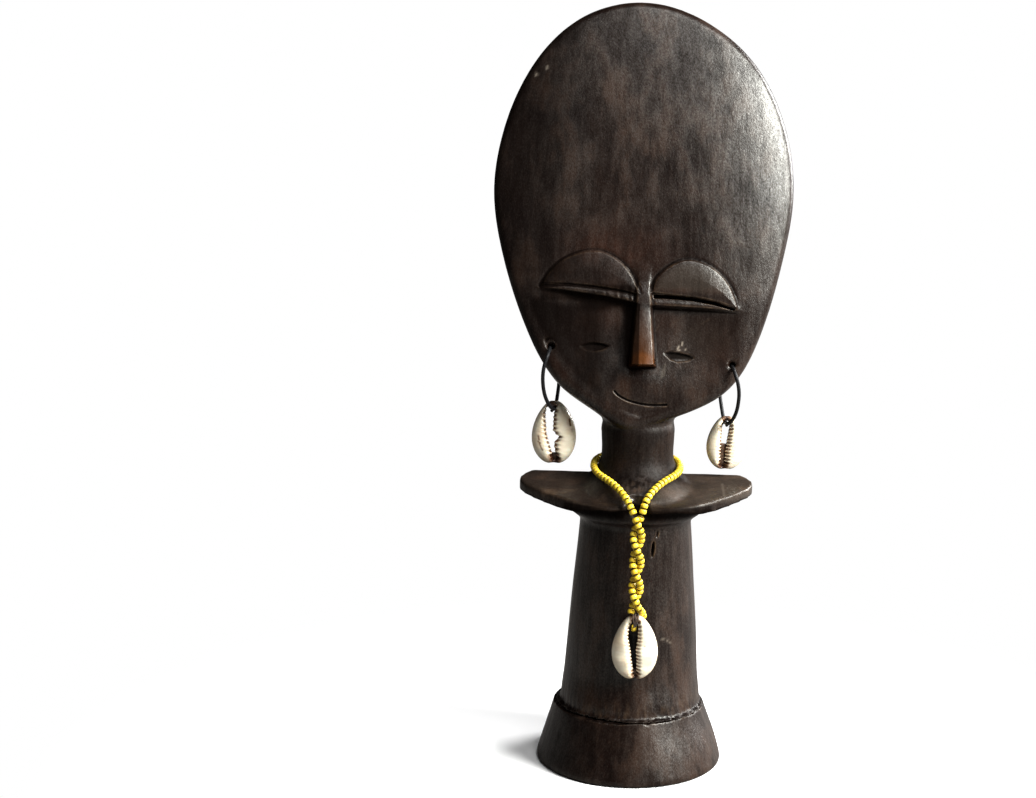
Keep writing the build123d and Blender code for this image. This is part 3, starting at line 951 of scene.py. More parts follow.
    def mouth(self):
        """A shallow curved groove, with a swelling above it and a hollow below, painted shade in the groove and
        a painted highlight along its lower edge on the right.
        """
        u, v, line = self.u, self.v, rounded(MOUTH)
        away = line_distance(u, v, line)
        self.height -= 0.7 * bell(away, 0.36)
        self.dark += 0.7 * bell(away, 0.34)
        self.wear_and_highlight += 0.55 * bell(line_distance(u, v + 0.75, line), 0.32) * ease(-6.0, 3.0, u)
        self.height += 0.9 * spot(u, v, (0.0, 19.0), (8.5, 5.0))
        self.height -= 0.5 * spot(u, v, (0.0, 6.5), (9.0, 3.0))

    def ear_chips(self):
        """The chipped funnels round the two ear holes, with painted shade round each hole."""
        for (x, y), side in (((-36.5, 32.3), -1), ((36.8, 26.3), 1)):
            ring = np.hypot(self.u - x, self.v - y)
            chip = np.hypot(self.u - x - side * 2.0, self.v - y - 1.2)
            self.height -= 0.8 * ease(3.0, 1.6, ring) + 0.5 * ease(2.2, 0.6, chip)
            self.wear_and_highlight += 0.9 * ease(2.2, 0.8, chip)
            self.dark += 0.8 * ease(2.4, 1.6, ring)

    def scratches(self):
        for start, end in FACE_SCRATCHES:
            scratch = bell(line_distance(self.u, self.v, [start, end]), 0.25)
            self.height -= 0.1 * scratch
            self.wear_and_highlight += 0.22 * scratch


def remeshed_copy(node, voxel):
    """An even mesh of a CAD node's shape, with softened edges."""
    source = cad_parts[node]
    copy = link(bpy.data.objects.new("carving", source.data.copy()))
    remesh = copy.modifiers.new("remesh", "REMESH")
    remesh.mode = "VOXEL"
    remesh.voxel_size = voxel * MM
    graph = bpy.context.evaluated_depsgraph_get()
    mesh = bpy.data.meshes.new_from_object(copy.evaluated_get(graph))
    old = copy.data
    bpy.data.objects.remove(copy)
    bpy.data.meshes.remove(old)
    return mesh


def coordinates(mesh):
    flat = np.empty(len(mesh.vertices) * 3)
    mesh.vertices.foreach_get("co", flat)
    return flat.reshape(-1, 3) / MM


def directions(mesh):
    flat = np.empty(len(mesh.vertices) * 3)
    mesh.vertices.foreach_get("normal", flat)
    return flat.reshape(-1, 3)


def put_coordinates(mesh, points):
    mesh.vertices.foreach_set("co", (points * MM).ravel())
    mesh.update()


def head_places(points):
    offset = points - HEAD_FOOT
    return offset @ HEAD_ACROSS, offset @ HEAD_UP, offset @ HEAD_OUT


def refine(mesh, chosen):
    """Splits every edge of the chosen faces once."""
    work = bmesh.new()
    work.from_mesh(mesh)
    work.verts.ensure_lookup_table()
    edges = set()
    for face in work.faces:
        if all(chosen[v.index] for v in face.verts):
            edges.update(face.edges)
    bmesh.ops.subdivide_edges(work, edges=list(edges), cuts=1, use_grid_fill=True)
    work.to_mesh(mesh)
    work.free()
    mesh.update()


def on_face(mesh, half_width, low, high, facing):
    """The points in a box on the front of the head."""
    u, v, w = head_places(coordinates(mesh))
    front = (w > 4) & (directions(mesh) @ HEAD_OUT > facing)
    return front & (np.abs(u) < half_width) & (v > low) & (v < high)


def refine_details(mesh):
    """Smaller faces on the face, the torso's front and the ledge, and smaller again at the finest cuts."""
    x, y, z = coordinates(mesh).T
    front = (np.hypot(x - 6.6, z - 94) < 9) & (y < -15)
    front |= (np.abs(x) < 9) & (y < -21) & (z > 104) & (z < 116)
    ledge = (z > 22.5) & (z < 27.5) & (y < 5)
    refine(mesh, on_face(mesh, 45, 3, 73, -0.2) | front | ledge)
    x, y, z = coordinates(mesh).T
    split = (np.abs(x - 6.6) < 3.5) & (np.abs(z - 93.4) < 6.5) & (y < -15)
    refine(mesh, on_face(mesh, 42, 46, 57, 0.1) | split | on_face(mesh, 13, 7, 16, 0.1))


def neighbours_mean(points, edges, count):
    total = np.zeros_like(points)
    for axis in range(points.shape[1]):
        total[:, axis] = np.bincount(edges[:, 0], points[edges[:, 1], axis], len(points))
        total[:, axis] += np.bincount(edges[:, 1], points[edges[:, 0], axis], len(points))
    return total / count[:, None]


def edge_list(mesh):
    flat = np.empty(len(mesh.edges) * 2, dtype=np.int32)
    mesh.edges.foreach_get("vertices", flat)
    edges = flat.reshape(-1, 2)
    count = np.bincount(edges.ravel(), minlength=len(mesh.vertices)).astype(float)
    return edges, np.maximum(count, 1.0)


def curvature(mesh, spread_steps):
    """Positive on ridges and negative in hollows, smoothed over a few neighbours."""
    points = coordinates(mesh)
    edges, count = edge_list(mesh)
    bend = -np.einsum("ij,ij->i", neighbours_mean(points, edges, count) - points, directions(mesh))
    spacing = np.linalg.norm(points[edges[:, 0]] - points[edges[:, 1]], axis=1)
    local = np.bincount(edges[:, 0], spacing, len(points)) + np.bincount(edges[:, 1], spacing, len(points))
    bend = bend / np.maximum(local / count, 0.05) ** 2
    for _ in range(spread_steps):
        bend = 0.5 * bend + 0.5 * neighbours_mean(bend[:, None], edges, count)[:, 0]
    return bend


def bumps(points, scale, stretch=(1.0, 1.0, 1.0), seed=0.0):
    """Smooth noise between about -1 and 1, at a size in millimetres."""
    sized = points / scale * np.array(stretch) + seed
    return np.array([noise.noise(p) for p in sized.tolist()])


def carve_face(points, normals):
    """Lays the carved relief over the front of the head, and gives the masks for its rubbed paleness with
    painted highlights and for its painted shade.
    """
    u, v, w = head_places(points)
    near = (w > 3.0) & (v < FACE_TOP + 4) & (v > -3) & (np.abs(u) < 58) & (normals @ HEAD_OUT > 0.0)
    index = np.nonzero(near)[0]
    u, v = u[index], v[index]
    margin = inside_distance(u, v, rounded(HEAD_OUTLINE + HEAD_OUTLINE[:1], 3))
    blend = ease(3.6, 5.6, margin) * ease(FACE_TOP, FACE_TOP - 4, v)
    for ear in (LEFT_EAR, RIGHT_EAR):
        away = np.hypot(points[index, 0] - ear[0], points[index, 2] - ear[1])
        blend *= np.where(away < 2.05, 0.0, 1.0)
    relief = FaceRelief(u, v, margin)
    lift = (dome(u, v) + relief.height - w[index]) * blend
    points[index] += lift[:, None] * HEAD_OUT
    worn_and_highlit = np.zeros(len(points))
    shaded = np.zeros(len(points))
    worn_and_highlit[index] = relief.wear_and_highlight * blend
    shaded[index] = relief.dark * blend
    return worn_and_highlit, shaded


def close_ear_holes(points, normals):
    """Draws each bore in round its cord, and leaves it open like a funnel at the two faces."""
    inner = np.abs(normals[:, 1]) < 0.8
    for ear in (LEFT_EAR, RIGHT_EAR):
        across = points[:, 0] - ear[0]
        rise = points[:, 2] - ear[1]
        reach = np.hypot(across, rise)
        bore = (reach < 2.3) & inner
        depth = points[bore, 1]
        mouth = np.minimum(depth - depth.min(), depth.max() - depth)
        radius = 1.0 + 0.8 * ease(2.2, 0.0, mouth)
        points[bore, 0] = ear[0] + across[bore] / reach[bore] * radius
        points[bore, 2] = ear[1] - EAR_CORD_DROP * ease(0.0, 2.2, mouth) + rise[bore] / reach[bore] * radius


def almond_cut(points, middle, lean, height, half_width, half_length, depth):
    """How far an almond-shaped split goes in, on the front of the torso, and the rim round it."""
    x, y, z = points.T
    across = (x - middle - lean * (z - height)) / half_width
    along = (z - height) / half_length
    reach = np.sqrt(across**2 + along**2 * (1 + 0.4 * along**2))
    front = y < -8
    return depth * ease(1.0, 0.25, reach) * front, between(reach, 0.75, 1.05, 1.0, 1.9) * front


class Carving:
    """The figure's points in millimetres while they are carved, and the masks that its wood is painted by."""

    def __init__(self, mesh):
        self.mesh = mesh
        self.points = coordinates(mesh)
        normals = directions(mesh)
        close_ear_holes(self.points, normals)
        self.worn_and_highlit, self.shaded = carve_face(self.points, normals)
        put_coordinates(mesh, self.points)

    def push(self, amount):
        """Moves the points away from the upright axis."""
        self.points += self.outward * amount[:, None]

    def wear_and_highlight(self, amount):
        self.worn_and_highlit = np.clip(self.worn_and_highlit + amount, 0, 1)

    def shade(self, amount):
        self.shaded = np.clip(self.shaded + amount, 0, 1)

    def roughen(self):
        """Broad tool marks, a fine ripple, and an uneven edge on the base's ledge."""
        x, y, z = self.points.T
        broad = bumps(self.points, 26.0, seed=3.1)
        gouge = bumps(self.points, 7.0, (1.0, 1.0, 0.22), 7.7)
        ripple = bumps(self.points, 3.0, (1.0, 1.0, 0.3), 2.3)
        on_body = -0.22 + 0.2 * broad + 0.13 * gouge + 0.05 * ripple
        on_head = -0.12 + 0.1 * broad + 0.05 * gouge
        level = np.where(z < 137.0, on_body, on_head)
        rough_foot = ease(27.0, 25.5, np.abs(z - 26.0) + 24.0) * (z > 24.4)
        level -= 0.3 * rough_foot * np.abs(ripple) * ease(8.0, -4.0, y)
        level *= ease(0.2, 1.5, z)
        self.points += directions(self.mesh) * level[:, None]
        ledge = bell(z - 25.0, 2.0) * (np.hypot(x, y) > 25)
        z += 0.55 * ledge * broad + 0.35 * ledge * ripple * (y < 0)
        self.outward = self.points * np.array((1.0, 1.0, 0.0))
        self.radius = np.linalg.norm(self.outward, axis=1)
        self.outward /= np.maximum(self.radius, 1e-6)[:, None]

    def shape_foot(self):
        """The ledge pulled in on the right, the torso flared above it, and its scored foot."""
        x, y, z = self.points.T
        flush = ease(4.0, 26.0, x) * ease(8.0, 25.0, z) * (z < 27.0) * ease(29.2, 31.6, self.radius)
        self.push(-LEDGE_PULL * flush)
        fuller = ease(40.0, 25.4, z) * (z > 24.9) * ease(31.4, 29.6, self.radius)
        self.push(FOOT_FLARE * fuller * (0.35 + 0.65 * ease(-6.0, -22.0, y)))
        self.scored = bumps(self.points, 1.3, (1.0, 1.0, 0.12), 5.5) * between(z, 25.0, 27.0, 28.0, 38.0)
        self.push(0.16 * self.scored)

    def shape_arms(self):
        """A thinner front rim on both arm lobes, and a notch between them."""
        x, y, z = self.points.T
        self.crest = ARM_CREST - (6.0 - y) * math.tan(ARM_LEAN)
        rim = ease(25.6, 27.4, self.radius) * (y < -12) * (z > 103.2)
        share = np.where(x < 0, ease(-27.0, -13.0, x), 0.7 * ease(27.0, 14.0, x))
        z += 0.8 * np.maximum(self.crest - 1.0 - z, 0.0) * rim * share
        notch = ease(6.0, 0.0, np.abs(x + 0.6)) * between(z, 106.0, 109.0, 116.0, 119.0)
        y += 2.4 * notch * ease(-23.0, -26.0, y)

    def cut_torso(self):
        """A split, a chip above it and a dent on the right, and the points held inside the CAD box."""
        split, split_rim = almond_cut(self.points, 6.6, 0.07, 93.3, 0.75, 4.2, 2.0)
        chip, chip_rim = almond_cut(self.points, 8.2, 0.12, 99.4, 0.6, 2.0, 0.5)
        dent, dent_rim = almond_cut(self.points, 23.8, 0.0, 79.5, 0.5, 1.0, 0.8)
        self.push(-split)
        self.push(-chip)
        self.push(-dent)
        low, high = (np.array(corner) / MM for corner in cad_box)
        np.clip(self.points, low, high, out=self.points)
        put_coordinates(self.mesh, self.points)
        self.fine = bumps(self.points, 1.6, (1.0, 1.0, 0.5), 4.4)
        self.wear_edges(0.42 * split_rim * ease(-0.5, 0.3, self.fine) + 0.4 * chip_rim + 0.2 * dent_rim)
        # Painted shade inside the split and the dent, and in every hollow.
        self.shade(1.2 * ease(0.4, 1.4, split) + 1.3 * ease(0.2, 0.6, dent) + self.hollows)

    def wear_edges(self, rims):
        """Paler rubbing on every ridge and on the given rims, and painted shade for every hollow."""
        bend = curvature(self.mesh, 2)
        ridge = 0.8 * ease(0.10, 0.34, bend) + 0.3 * ease(0.04, 0.16, curvature(self.mesh, 6))
        self.wear_and_highlight(rims + 0.75 * ridge)
        self.hollows = 0.8 * ease(0.08, 0.30, -bend)

    def mark_ledge(self):
        """Painted shade on the ledge top, and less rubbed paleness round the ear holes."""
        x, y, z = self.points.T
        ledge_top = ease(0.5, 0.8, directions(self.mesh)[:, 2]) * between(z, 22.5, 23.5, 26.5, 27.5)
        self.worn_and_highlit *= 1.0 - 0.6 * ledge_top
        self.shade(ledge_top * (0.5 + 0.4 * ease(0.3, -0.1, self.fine)))
        for ear in (LEFT_EAR, RIGHT_EAR):
            self.worn_and_highlit *= 1.0 - 0.6 * np.exp(-((np.hypot(x - ear[0], z - ear[1]) / 3.0) ** 4))

    def mark_head(self):
        """The face's reddish patches, orange-brown nose tip and pale strokes, painted light on its right lid
        and cheek, and painted shade over its left side.
        """
        u, v, w = head_places(self.points)
        front = ease(0.0, 4.0, w) * ease(-4.0, 2.0, v)
        warm = sum(strength * spot(u, v, place, reach) for strength, place, reach in WARM_PATCHES)
        self.warm = np.clip(warm * front, 0, 1)
        across = np.abs(u - NOSE_CENTRE)
        tip = ease(31.5, 26.5, v + 0.25 * np.abs(u)) * ease(23.2, 24.6, v) * ease(6.2, 4.6, across)
        tip += 0.45 * between(v, 23.5, 25.0, 30.0, 46.0) * ease(5.4, 3.8, across)
        self.tip = np.clip(tip * ease(10.0, 13.0, w) * front, 0, 1)
        # The faint pale spot on the right cheek and the paler right lid below are painted light; the strokes
        # and dots are real pale marks.
        pale = 0.03 * spot(u, v, (24.0, 34.0), (14.0, 12.0))
        for strength, start, end, width in PALE_STROKES:
            pale += strength * bell(line_distance(u, v, [start, end]), width)
        for place in PALE_DOTS:
            pale += 0.7 * spot(u, v, place, (0.5, 0.6))
        pale += 0.075 * ease(0.0, 3.0, inside_distance(u, v, RIGHT_LID)) * ease(52.0, 56.0, v)
        self.pale = pale * front
        # Painted shade: the head's left side, the strip under the left lid and the left lid are darkened, away
        # from the light.
        left_side = ease(-12.0, -44.0, u) * ease(54.0, 62.0, v)
        left_side += ease(-28.0, -44.0, u) * between(v, 18.0, 26.0, 54.0, 60.0)
        left_strip = between(v, 49.0, 51.0, 55.5, 57.5) * between(u, -42.0, -38.0, -4.0, -1.0)
        left_lid = ease(-1.0, 1.0, inside_distance(u, v, LEFT_LID))
        self.shade((0.6 * left_side + 0.38 * left_strip + 0.35 * left_lid) * front)

    def mark_arms(self):
        """Paler, rubbed arm tops, paler towards the right as painted light, a rubbed front edge, and one
        scratch on the arms and one on the torso.
        """
        x, y, z = self.points.T
        arm_top = between(z, 111.0, 113.0, 119.5, 122.0) * ease(18.0, 24.0, self.radius)
        # The arm tops grow paler towards the right: painted light.
        self.pale += arm_top * (0.045 + 0.05 * ease(-5.0, 20.0, x))
        self.pale += 0.3 * bell(line_distance(x, z, TORSO_SCRATCH), 0.3) * (y <= 0)
        arm_front = (y <= -3) & (y >= -15) & (z >= 114) & (z < 124)
        self.pale += 0.14 * bell(x - 34.6, 0.3) * arm_front
        self.pale = np.clip(self.pale, 0, 1)
        self.wear_and_highlight(0.6 * arm_top * ease(0.05, 0.45, bumps(self.points, 7.0, (0.35, 1.0, 1.0), 6.6)))
        edge = bell(self.crest - 0.8 - z, 0.9) * ease(26.0, 28.0, self.radius) * (y < -20)
        self.wear_and_highlight(0.55 * edge * between(np.abs(x), 3.0, 6.0, 8.0, 20.0))

    def mark_neck(self):
        """Painted shade on the neck's sides down to the arms, and short cuts in front of it whose dark part is
        partly painted shade.
        """
        x, y, z = self.points.T
        self.shade(0.6 * between(z, 117.0, 119.0, 138.0, 142.0) * ease(28.0, 21.0, self.radius))
        meeting = spot(x, z, (-1.0, 117.0), (5.5, 4.0)) * (y < -12)
        marks = bumps(self.points, 1.1, (1.0, 0.6, 0.3), 9.1)
        self.wear_and_highlight(0.7 * meeting * (ease(0.05, 0.3, marks) - self.worn_and_highlit))
        self.shade(0.8 * meeting * ease(0.0, -0.25, marks))

    def mark_torso(self):
        """Rubbed scoring at the torso's foot, and the shadow under the arms."""
        x, y, z = self.points.T
        self.wear_and_highlight(0.45 * between(z, 24.5, 26.5, 27.0, 36.0) * ease(-0.1, 0.35, self.scored) * (y < 5))
        under_arms = ease(0.0, -0.45, directions(self.mesh)[:, 2]) * between(z, 104.0, 107.0, 119.0, 122.0)
        shadow = between(z, 103.0, 109.5, 111.0, 112.5) * ease(31.0, 28.0, np.abs(x))
        self.shade(under_arms + 0.8 * shadow)


def carved_figure():
    """The whole doll as one smooth mesh."""
    mesh = remeshed_copy("carved_figure", FIGURE_VOXEL)
    refine_details(mesh)
    carving = Carving(mesh)
    carving.roughen()
    carving.shape_foot()
    carving.shape_arms()
    carving.cut_torso()
    carving.mark_ledge()
    carving.mark_head()
    carving.mark_arms()
    carving.mark_neck()
    carving.mark_torso()
    for label in ("worn_and_highlit", "shaded", "warm", "tip", "pale"):
        mesh.attributes.new(label, "FLOAT", "POINT").data.foreach_set("value", getattr(carving, label))
    smooth_shaded(mesh)
    return link(bpy.data.objects.new("carved_wood_figure", mesh))


figure = carved_figure()
ride_for(figure, "figure", "carved_figure")


# ---------------------------------------------------------------- materials
class Paint:
    """One node material, with short names for the nodes that these finishes use."""

    def __init__(self, name):
        self.material = bpy.data.materials.new(name)
        self.material.use_nodes = True
        self.tree = self.material.node_tree
        self.shader = self.tree.nodes["Principled BSDF"]
        self.place = self.node("ShaderNodeTexCoord").outputs["Object"]

    def plug(self, value, socket):
        if isinstance(value, bpy.types.NodeSocket):
            self.tree.links.new(value, socket)
        elif isinstance(value, tuple) and len(value) == 3 and socket.type == "RGBA":
            socket.default_value = (*value, 1.0)
        else:
            socket.default_value = value

    def set(self, node, sockets):
        for label, value in sockets.items():
            self.plug(value, node.inputs[label.replace("_", " ")])
        return node

    def node(self, kind, **sockets):
        return self.set(self.tree.nodes.new(kind), sockets)

    def noise(self, scale, stretch=(1, 1, 1), detail=4.0, roughness=0.5, distortion=0.0):
        place = self.node("ShaderNodeMapping", Vector=self.place, Scale=stretch).outputs["Vector"]
        made = self.node("ShaderNodeTexNoise", Vector=place, Scale=scale, Detail=detail)
        self.set(made, {"Roughness": roughness, "Distortion": distortion})
        return made.outputs["Fac"]

    def mask(self, label):
        made = self.node("ShaderNodeAttribute")
        made.attribute_name = label
        return made.outputs["Fac"]

    def ramp(self, value, low, high, to_low=0.0, to_high=1.0):
        made = self.node("ShaderNodeMapRange", Value=value, From_Min=low, From_Max=high)
        self.set(made, {"To_Min": to_low, "To_Max": to_high})
        made.interpolation_type = "SMOOTHSTEP"
        return made.outputs["Result"]

    def math(self, operation, first, second, clamp=False):
        made = self.node("ShaderNodeMath")
        made.operation = operation
        made.use_clamp = clamp
        self.plug(first, made.inputs[0])
        self.plug(second, made.inputs[1])
        return made.outputs[0]

    def times(self, first, second, clamp=False):
        return self.math("MULTIPLY", first, second, clamp)

    def mix(self, factor, first, second):
        made = self.node("ShaderNodeMix")
        made.data_type = "RGBA"
        self.plug(factor, made.inputs[0])
        self.plug(first, made.inputs[6])
        self.plug(second, made.inputs[7])
        return made.outputs[2]

    def bump(self, height, strength, distance, below=None):
        made = self.node("ShaderNodeBump", Height=height, Strength=strength, Distance=distance)
        if below is not None:
            self.plug(below, made.inputs["Normal"])
        return made.outputs["Normal"]

    def finish(self, **sockets):
        self.set(self.shader, sockets)
        return self.material


def stained_wood():
    """Dark, hand-rubbed hardwood: fine upright grain, reddish patches, rubbed edges with some painted
    highlights, painted light on its right and painted shade in its hollows, cuts and left side.
    """
    p = Paint("stained_wood")
    cloud = p.noise(26.0, detail=5.0, roughness=0.55)
    grain = p.noise(420.0, (1.0, 1.0, 0.06), detail=8.0, roughness=0.65, distortion=0.1)
    fibre = p.noise(2000.0, (1.0, 1.0, 0.16), detail=3.0, roughness=0.6)
    fleck = p.noise(1700.0, (1.0, 1.0, 0.7), detail=3.0, roughness=0.7)
    blotch = p.noise(85.0, (1.0, 1.0, 0.5), detail=6.0, roughness=0.6)
    rubbing = p.noise(210.0, detail=5.0, roughness=0.65)
    warm = p.times(p.mask("warm"), p.ramp(blotch, 0.28, 0.66), clamp=True)
    worn_and_highlit = p.times(p.mask("worn_and_highlit"), p.ramp(rubbing, 0.36, 0.66, 0.05, 1.0), clamp=True)
    tip = p.times(p.mask("tip"), p.ramp(grain, 0.25, 0.6, 0.6, 1.0), clamp=True)
    colour = p.mix(p.ramp(cloud, 0.3, 0.7), (0.0054, 0.0015, 0.0008), (0.0120, 0.0052, 0.0029))
    for share, tint in (
        (p.ramp(blotch, 0.45, 0.68, 0.0, 0.7), (0.034, 0.0150, 0.0074)),
        (p.ramp(grain, 0.45, 0.75, 0.0, 0.4), (0.024, 0.014, 0.0100)),
        (p.ramp(grain, 0.5, 0.28, 0.0, 0.5), (0.0025, 0.0014, 0.0010)),
        (p.ramp(fibre, 0.58, 0.74, 0.0, 0.25), (0.040, 0.029, 0.022)),
        (p.ramp(fleck, 0.58, 0.70, 0.0, 0.3), (0.056, 0.040, 0.028)),
        (p.times(warm, 0.75), (0.034, 0.0105, 0.0042)),
        # Rubbed paleness, with painted highlights along the eye strip's foot and the mouth's lower edge.
        (p.times(worn_and_highlit, 0.7), (0.105, 0.066, 0.038)),
        (p.times(tip, 0.8), (0.115, 0.040, 0.0085)),
        # Painted shade: hollows, cuts, under the arms, the neck's sides, the ledge top and the face's left
        # side.
        (p.times(p.mask("shaded"), 0.85), (0.0030, 0.0018, 0.0014)),
        # Pale marks, with painted light on the right lid, the right cheek and the arm tops' right side.
        (p.times(p.mask("pale"), 0.8), (0.36, 0.31, 0.25)),
    ):
        colour = p.mix(share, colour, tint)
    rough = p.math("ADD", p.ramp(cloud, 0.3, 0.7, 0.32, 0.39), p.ramp(blotch, 0.35, 0.65, -0.03, 0.04))
    rough = p.math("ADD", rough, p.times(p.mask("shaded"), 0.3), clamp=True)
    gloss = p.times(p.ramp(fleck, 0.36, 0.62, 0.48, 0.88), p.ramp(grain, 0.32, 0.62, 0.62, 1.0))
    gloss = p.times(gloss, p.ramp(blotch, 0.3, 0.62, 0.68, 1.02))
    gloss = p.times(gloss, p.ramp(p.mask("shaded"), 0.0, 1.0, 1.0, 0.08))
    gloss = p.times(gloss, p.ramp(p.mask("tip"), 0.0, 1.0, 1.0, 0.45))
    coarse = p.bump(blotch, 0.4, 0.0006)
    fine = p.bump(grain, 0.25, 0.0003, coarse)
    return p.finish(
        Base_Color=colour,
        Roughness=rough,
        Normal=p.bump(fleck, 0.4, 0.00018, fine),
        Specular_IOR_Level=gloss,
        Specular_Tint=(0.98, 0.98, 0.94),
    )


def cowrie_shell():
    """Cream glazed shell with brown in the grooves between the teeth, and painted shade in its mouth and on its
    inner wall.
    """
    p = Paint("cowrie_shell")
    cloud = p.noise(160.0, detail=4.0)
    speck = p.noise(900.0, (1.0, 1.0, 0.6), detail=4.0, roughness=0.65)
    lines = p.noise(420.0, (0.35, 1.0, 1.6), detail=3.0)
    colour = p.mix(p.ramp(cloud, 0.35, 0.68), (0.74, 0.69, 0.56), (0.70, 0.59, 0.44))
    colour = p.mix(p.ramp(lines, 0.52, 0.72, 0.0, 0.35), colour, (0.58, 0.45, 0.33))
    colour = p.mix(p.ramp(speck, 0.66, 0.76, 0.0, 0.35), colour, (0.40, 0.26, 0.15))
    stain = p.times(p.mask("stain"), p.ramp(speck, 0.2, 0.55, 0.75, 1.15), clamp=True)
    colour = p.mix(p.ramp(stain, 0.18, 0.6), colour, (0.21, 0.125, 0.075))
    colour = p.mix(p.ramp(stain, 0.62, 0.98), colour, (0.045, 0.018, 0.010))
    rough = p.ramp(p.mask("shine"), 0.2, 1.0, 0.6, 0.22)
    normal = p.bump(lines, 0.15, 0.0002, p.bump(cloud, 0.15, 0.0006))
    return p.finish(
        Base_Color=colour,
        Roughness=rough,
        Normal=normal,
        Subsurface_Weight=0.12,
        Subsurface_Radius=(0.004, 0.0025, 0.0015),
        Coat_Weight=0.35,
        Coat_Roughness=0.12,
    )


def yellow_glass():
    """Opaque yellow seed beads, each a little different, with painted shade at their ends."""
    p = Paint("yellow_glass")
    cloud = p.noise(700.0, detail=2.0)
    colour = p.mix(p.mask("tone"), (0.70, 0.51, 0.034), (0.82, 0.64, 0.065))
    colour = p.mix(p.ramp(cloud, 0.4, 0.8, 0.0, 0.25), colour, (0.50, 0.32, 0.014))
    # Painted shade at each bead's ends, where it meets the next.
    colour = p.mix(p.ramp(p.mask("edge"), 0.25, 0.9, 0.0, 0.85), colour, (0.19, 0.115, 0.008))
    rough = p.ramp(cloud, 0.3, 0.7, 0.30, 0.45)
    return p.finish(
        Base_Color=colour,
        Roughness=rough,
        Normal=p.bump(cloud, 0.1, 0.00005),
        Subsurface_Weight=0.1,
        Subsurface_Radius=(0.002, 0.0012, 0.0003),
        Coat_Weight=0.15,
        Coat_Roughness=0.2,
    )


def waxed_cord():
    """Black waxed cord, rubbed grey in places, with painted shade in the grooves of its plait."""
    p = Paint("waxed_cord")
    fuzz = p.noise(3200.0, detail=3.0, roughness=0.7)
    colour = p.mix(p.ramp(fuzz, 0.4, 0.75), (0.005, 0.005, 0.006), (0.022, 0.022, 0.025))
    # Painted shade in the grooves between the plait's lozenges.
    colour = p.mix(p.ramp(p.mask("relief"), 0.1, 0.7, 0.7, 0.0), colour, (0.003, 0.003, 0.003))
    rough = p.ramp(fuzz, 0.3, 0.7, 0.45, 0.65)
    normal = p.bump(fuzz, 0.3, 0.0001)
    return p.finish(Base_Color=colour, Roughness=rough, Normal=normal, Specular_IOR_Level=0.35)


def brown_cotton():
    """Fine dark brown thread."""
    p = Paint("brown_cotton")
    fuzz = p.noise(5200.0, detail=3.0, roughness=0.7)
    colour = p.mix(p.ramp(fuzz, 0.35, 0.7), (0.020, 0.010, 0.006), (0.085, 0.045, 0.024))
    rough = p.ramp(fuzz, 0.3, 0.7, 0.7, 0.95)
    return p.finish(Base_Color=colour, Roughness=rough, Normal=p.bump(fuzz, 0.4, 0.0001), Sheen_Weight=0.3)


def dress(material, slot, *objects):
    """Gives pieces one material. The slot is not used."""
    for obj in objects:
        obj.data.materials.clear()
        obj.data.materials.append(material)


dress(stained_wood(), "wood", figure)
dress(cowrie_shell(), "shell", left_shell, right_shell, pendant_shell)
dress(yellow_glass(), "yellow_bead", neck_pieces[1], left_pieces[1], right_pieces[1], stopper)
dress(waxed_cord(), "black_cord", *left_cord_pieces, *right_cord_pieces)
dress(brown_cotton(), "brown_thread", neck_pieces[0], left_pieces[0], right_pieces[0], ties)


# ---------------------------------------------------------------- floor, light and background
FLOOR_HALF = 4.0
FLOOR_BOUNCE = (0.22, 0.21, 0.20)
FLOOR_PALE_RADIUS = 0.04
FLOOR_WHITE_RADIUS = 0.24
WORLD_LIGHT = 0.04
KEY_COLOUR = (0.99, 1.0, 0.98)
VIEW_GAMMA = 0.86


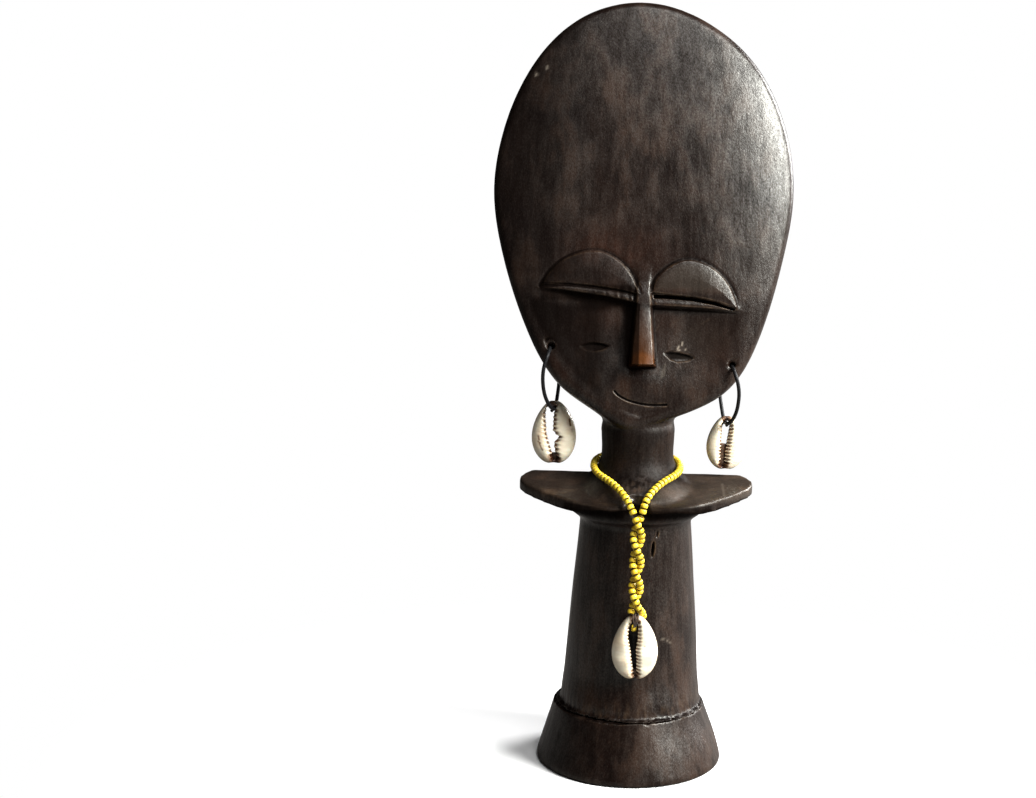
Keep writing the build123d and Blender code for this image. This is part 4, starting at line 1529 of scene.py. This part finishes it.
def add_floor():
    """Pale near the doll, and fading to the background's white further off."""
    half = FLOOR_HALF
    mesh = bpy.data.meshes.new("floor")
    corners = [(-half, -half, 0), (half, -half, 0), (half, half, 0), (-half, half, 0)]
    mesh.from_pydata(corners, [], [(0, 1, 2, 3)])
    floor = link(bpy.data.objects.new("floor", mesh))
    p = Paint("pale_floor")
    nodes, links = p.tree.nodes, p.tree.links
    path = nodes.new("ShaderNodeLightPath")
    seen = p.mix(p.noise(3.0, detail=2.0), (0.90, 0.90, 0.90), (0.94, 0.94, 0.94))
    colour = p.mix(path.outputs["Is Camera Ray"], FLOOR_BOUNCE, seen)
    p.finish(Base_Color=colour, Roughness=0.9)
    glow = p.node("ShaderNodeEmission", Strength=1.0)
    length = p.node("ShaderNodeVectorMath", Vector=p.place)
    length.operation = "LENGTH"
    far = p.ramp(length.outputs["Value"], FLOOR_PALE_RADIUS, FLOOR_WHITE_RADIUS)
    blend = nodes.new("ShaderNodeMixShader")
    links.new(p.times(far, path.outputs["Is Camera Ray"]), blend.inputs[0])
    links.new(p.shader.outputs[0], blend.inputs[1])
    links.new(glow.outputs[0], blend.inputs[2])
    links.new(blend.outputs[0], nodes["Material Output"].inputs["Surface"])
    mesh.materials.append(p.material)


def add_area_light(name, place, aim, size, power, colour=(1.0, 1.0, 1.0)):
    """A soft light aimed at a height on the doll's axis; these sizes are in metres."""
    light = bpy.data.lights.new(name, "AREA")
    light.shape = "RECTANGLE"
    light.size, light.size_y = size
    light.energy = power
    light.color = colour
    obj = link(bpy.data.objects.new(name, light))
    ahead = (Vector((0.0, 0.0, aim)) - Vector(place)).normalized()
    obj.rotation_euler = ahead.to_track_quat("-Z", "Y").to_euler()
    obj.location = place


def add_world(light_strength):
    """White to the camera, and a dimmer soft light on everything."""
    world = bpy.data.worlds.new("studio")
    world.use_nodes = True
    bpy.context.scene.world = world
    tree = world.node_tree
    nodes = tree.nodes
    soft = nodes["Background"]
    soft.inputs["Color"].default_value = (1.0, 0.99, 0.975, 1.0)
    soft.inputs["Strength"].default_value = light_strength
    seen = nodes.new("ShaderNodeBackground")
    seen.inputs["Color"].default_value = (1.0, 1.0, 1.0, 1.0)
    seen.inputs["Strength"].default_value = 1.0
    path = nodes.new("ShaderNodeLightPath")
    choose = nodes.new("ShaderNodeMixShader")
    tree.links.new(path.outputs["Is Camera Ray"], choose.inputs[0])
    tree.links.new(soft.outputs[0], choose.inputs[1])
    tree.links.new(seen.outputs[0], choose.inputs[2])
    tree.links.new(choose.outputs[0], nodes["World Output"].inputs["Surface"])


add_floor()
add_world(WORLD_LIGHT)
add_area_light("key", place=(1.2, -0.8, 1.02), aim=0.18, size=(0.7, 0.7), power=80.0, colour=KEY_COLOUR)
add_area_light("right_side", place=(1.35, 0.7, 0.8), aim=0.14, size=(0.7, 0.9), power=56.0)
add_area_light("front_overhead", place=(0.3, -1.05, 1.75), aim=0.15, size=(1.0, 0.8), power=20.0)
bpy.context.scene.view_settings.gamma = VIEW_GAMMA
bpy.context.scene.view_settings.view_transform = "Standard"
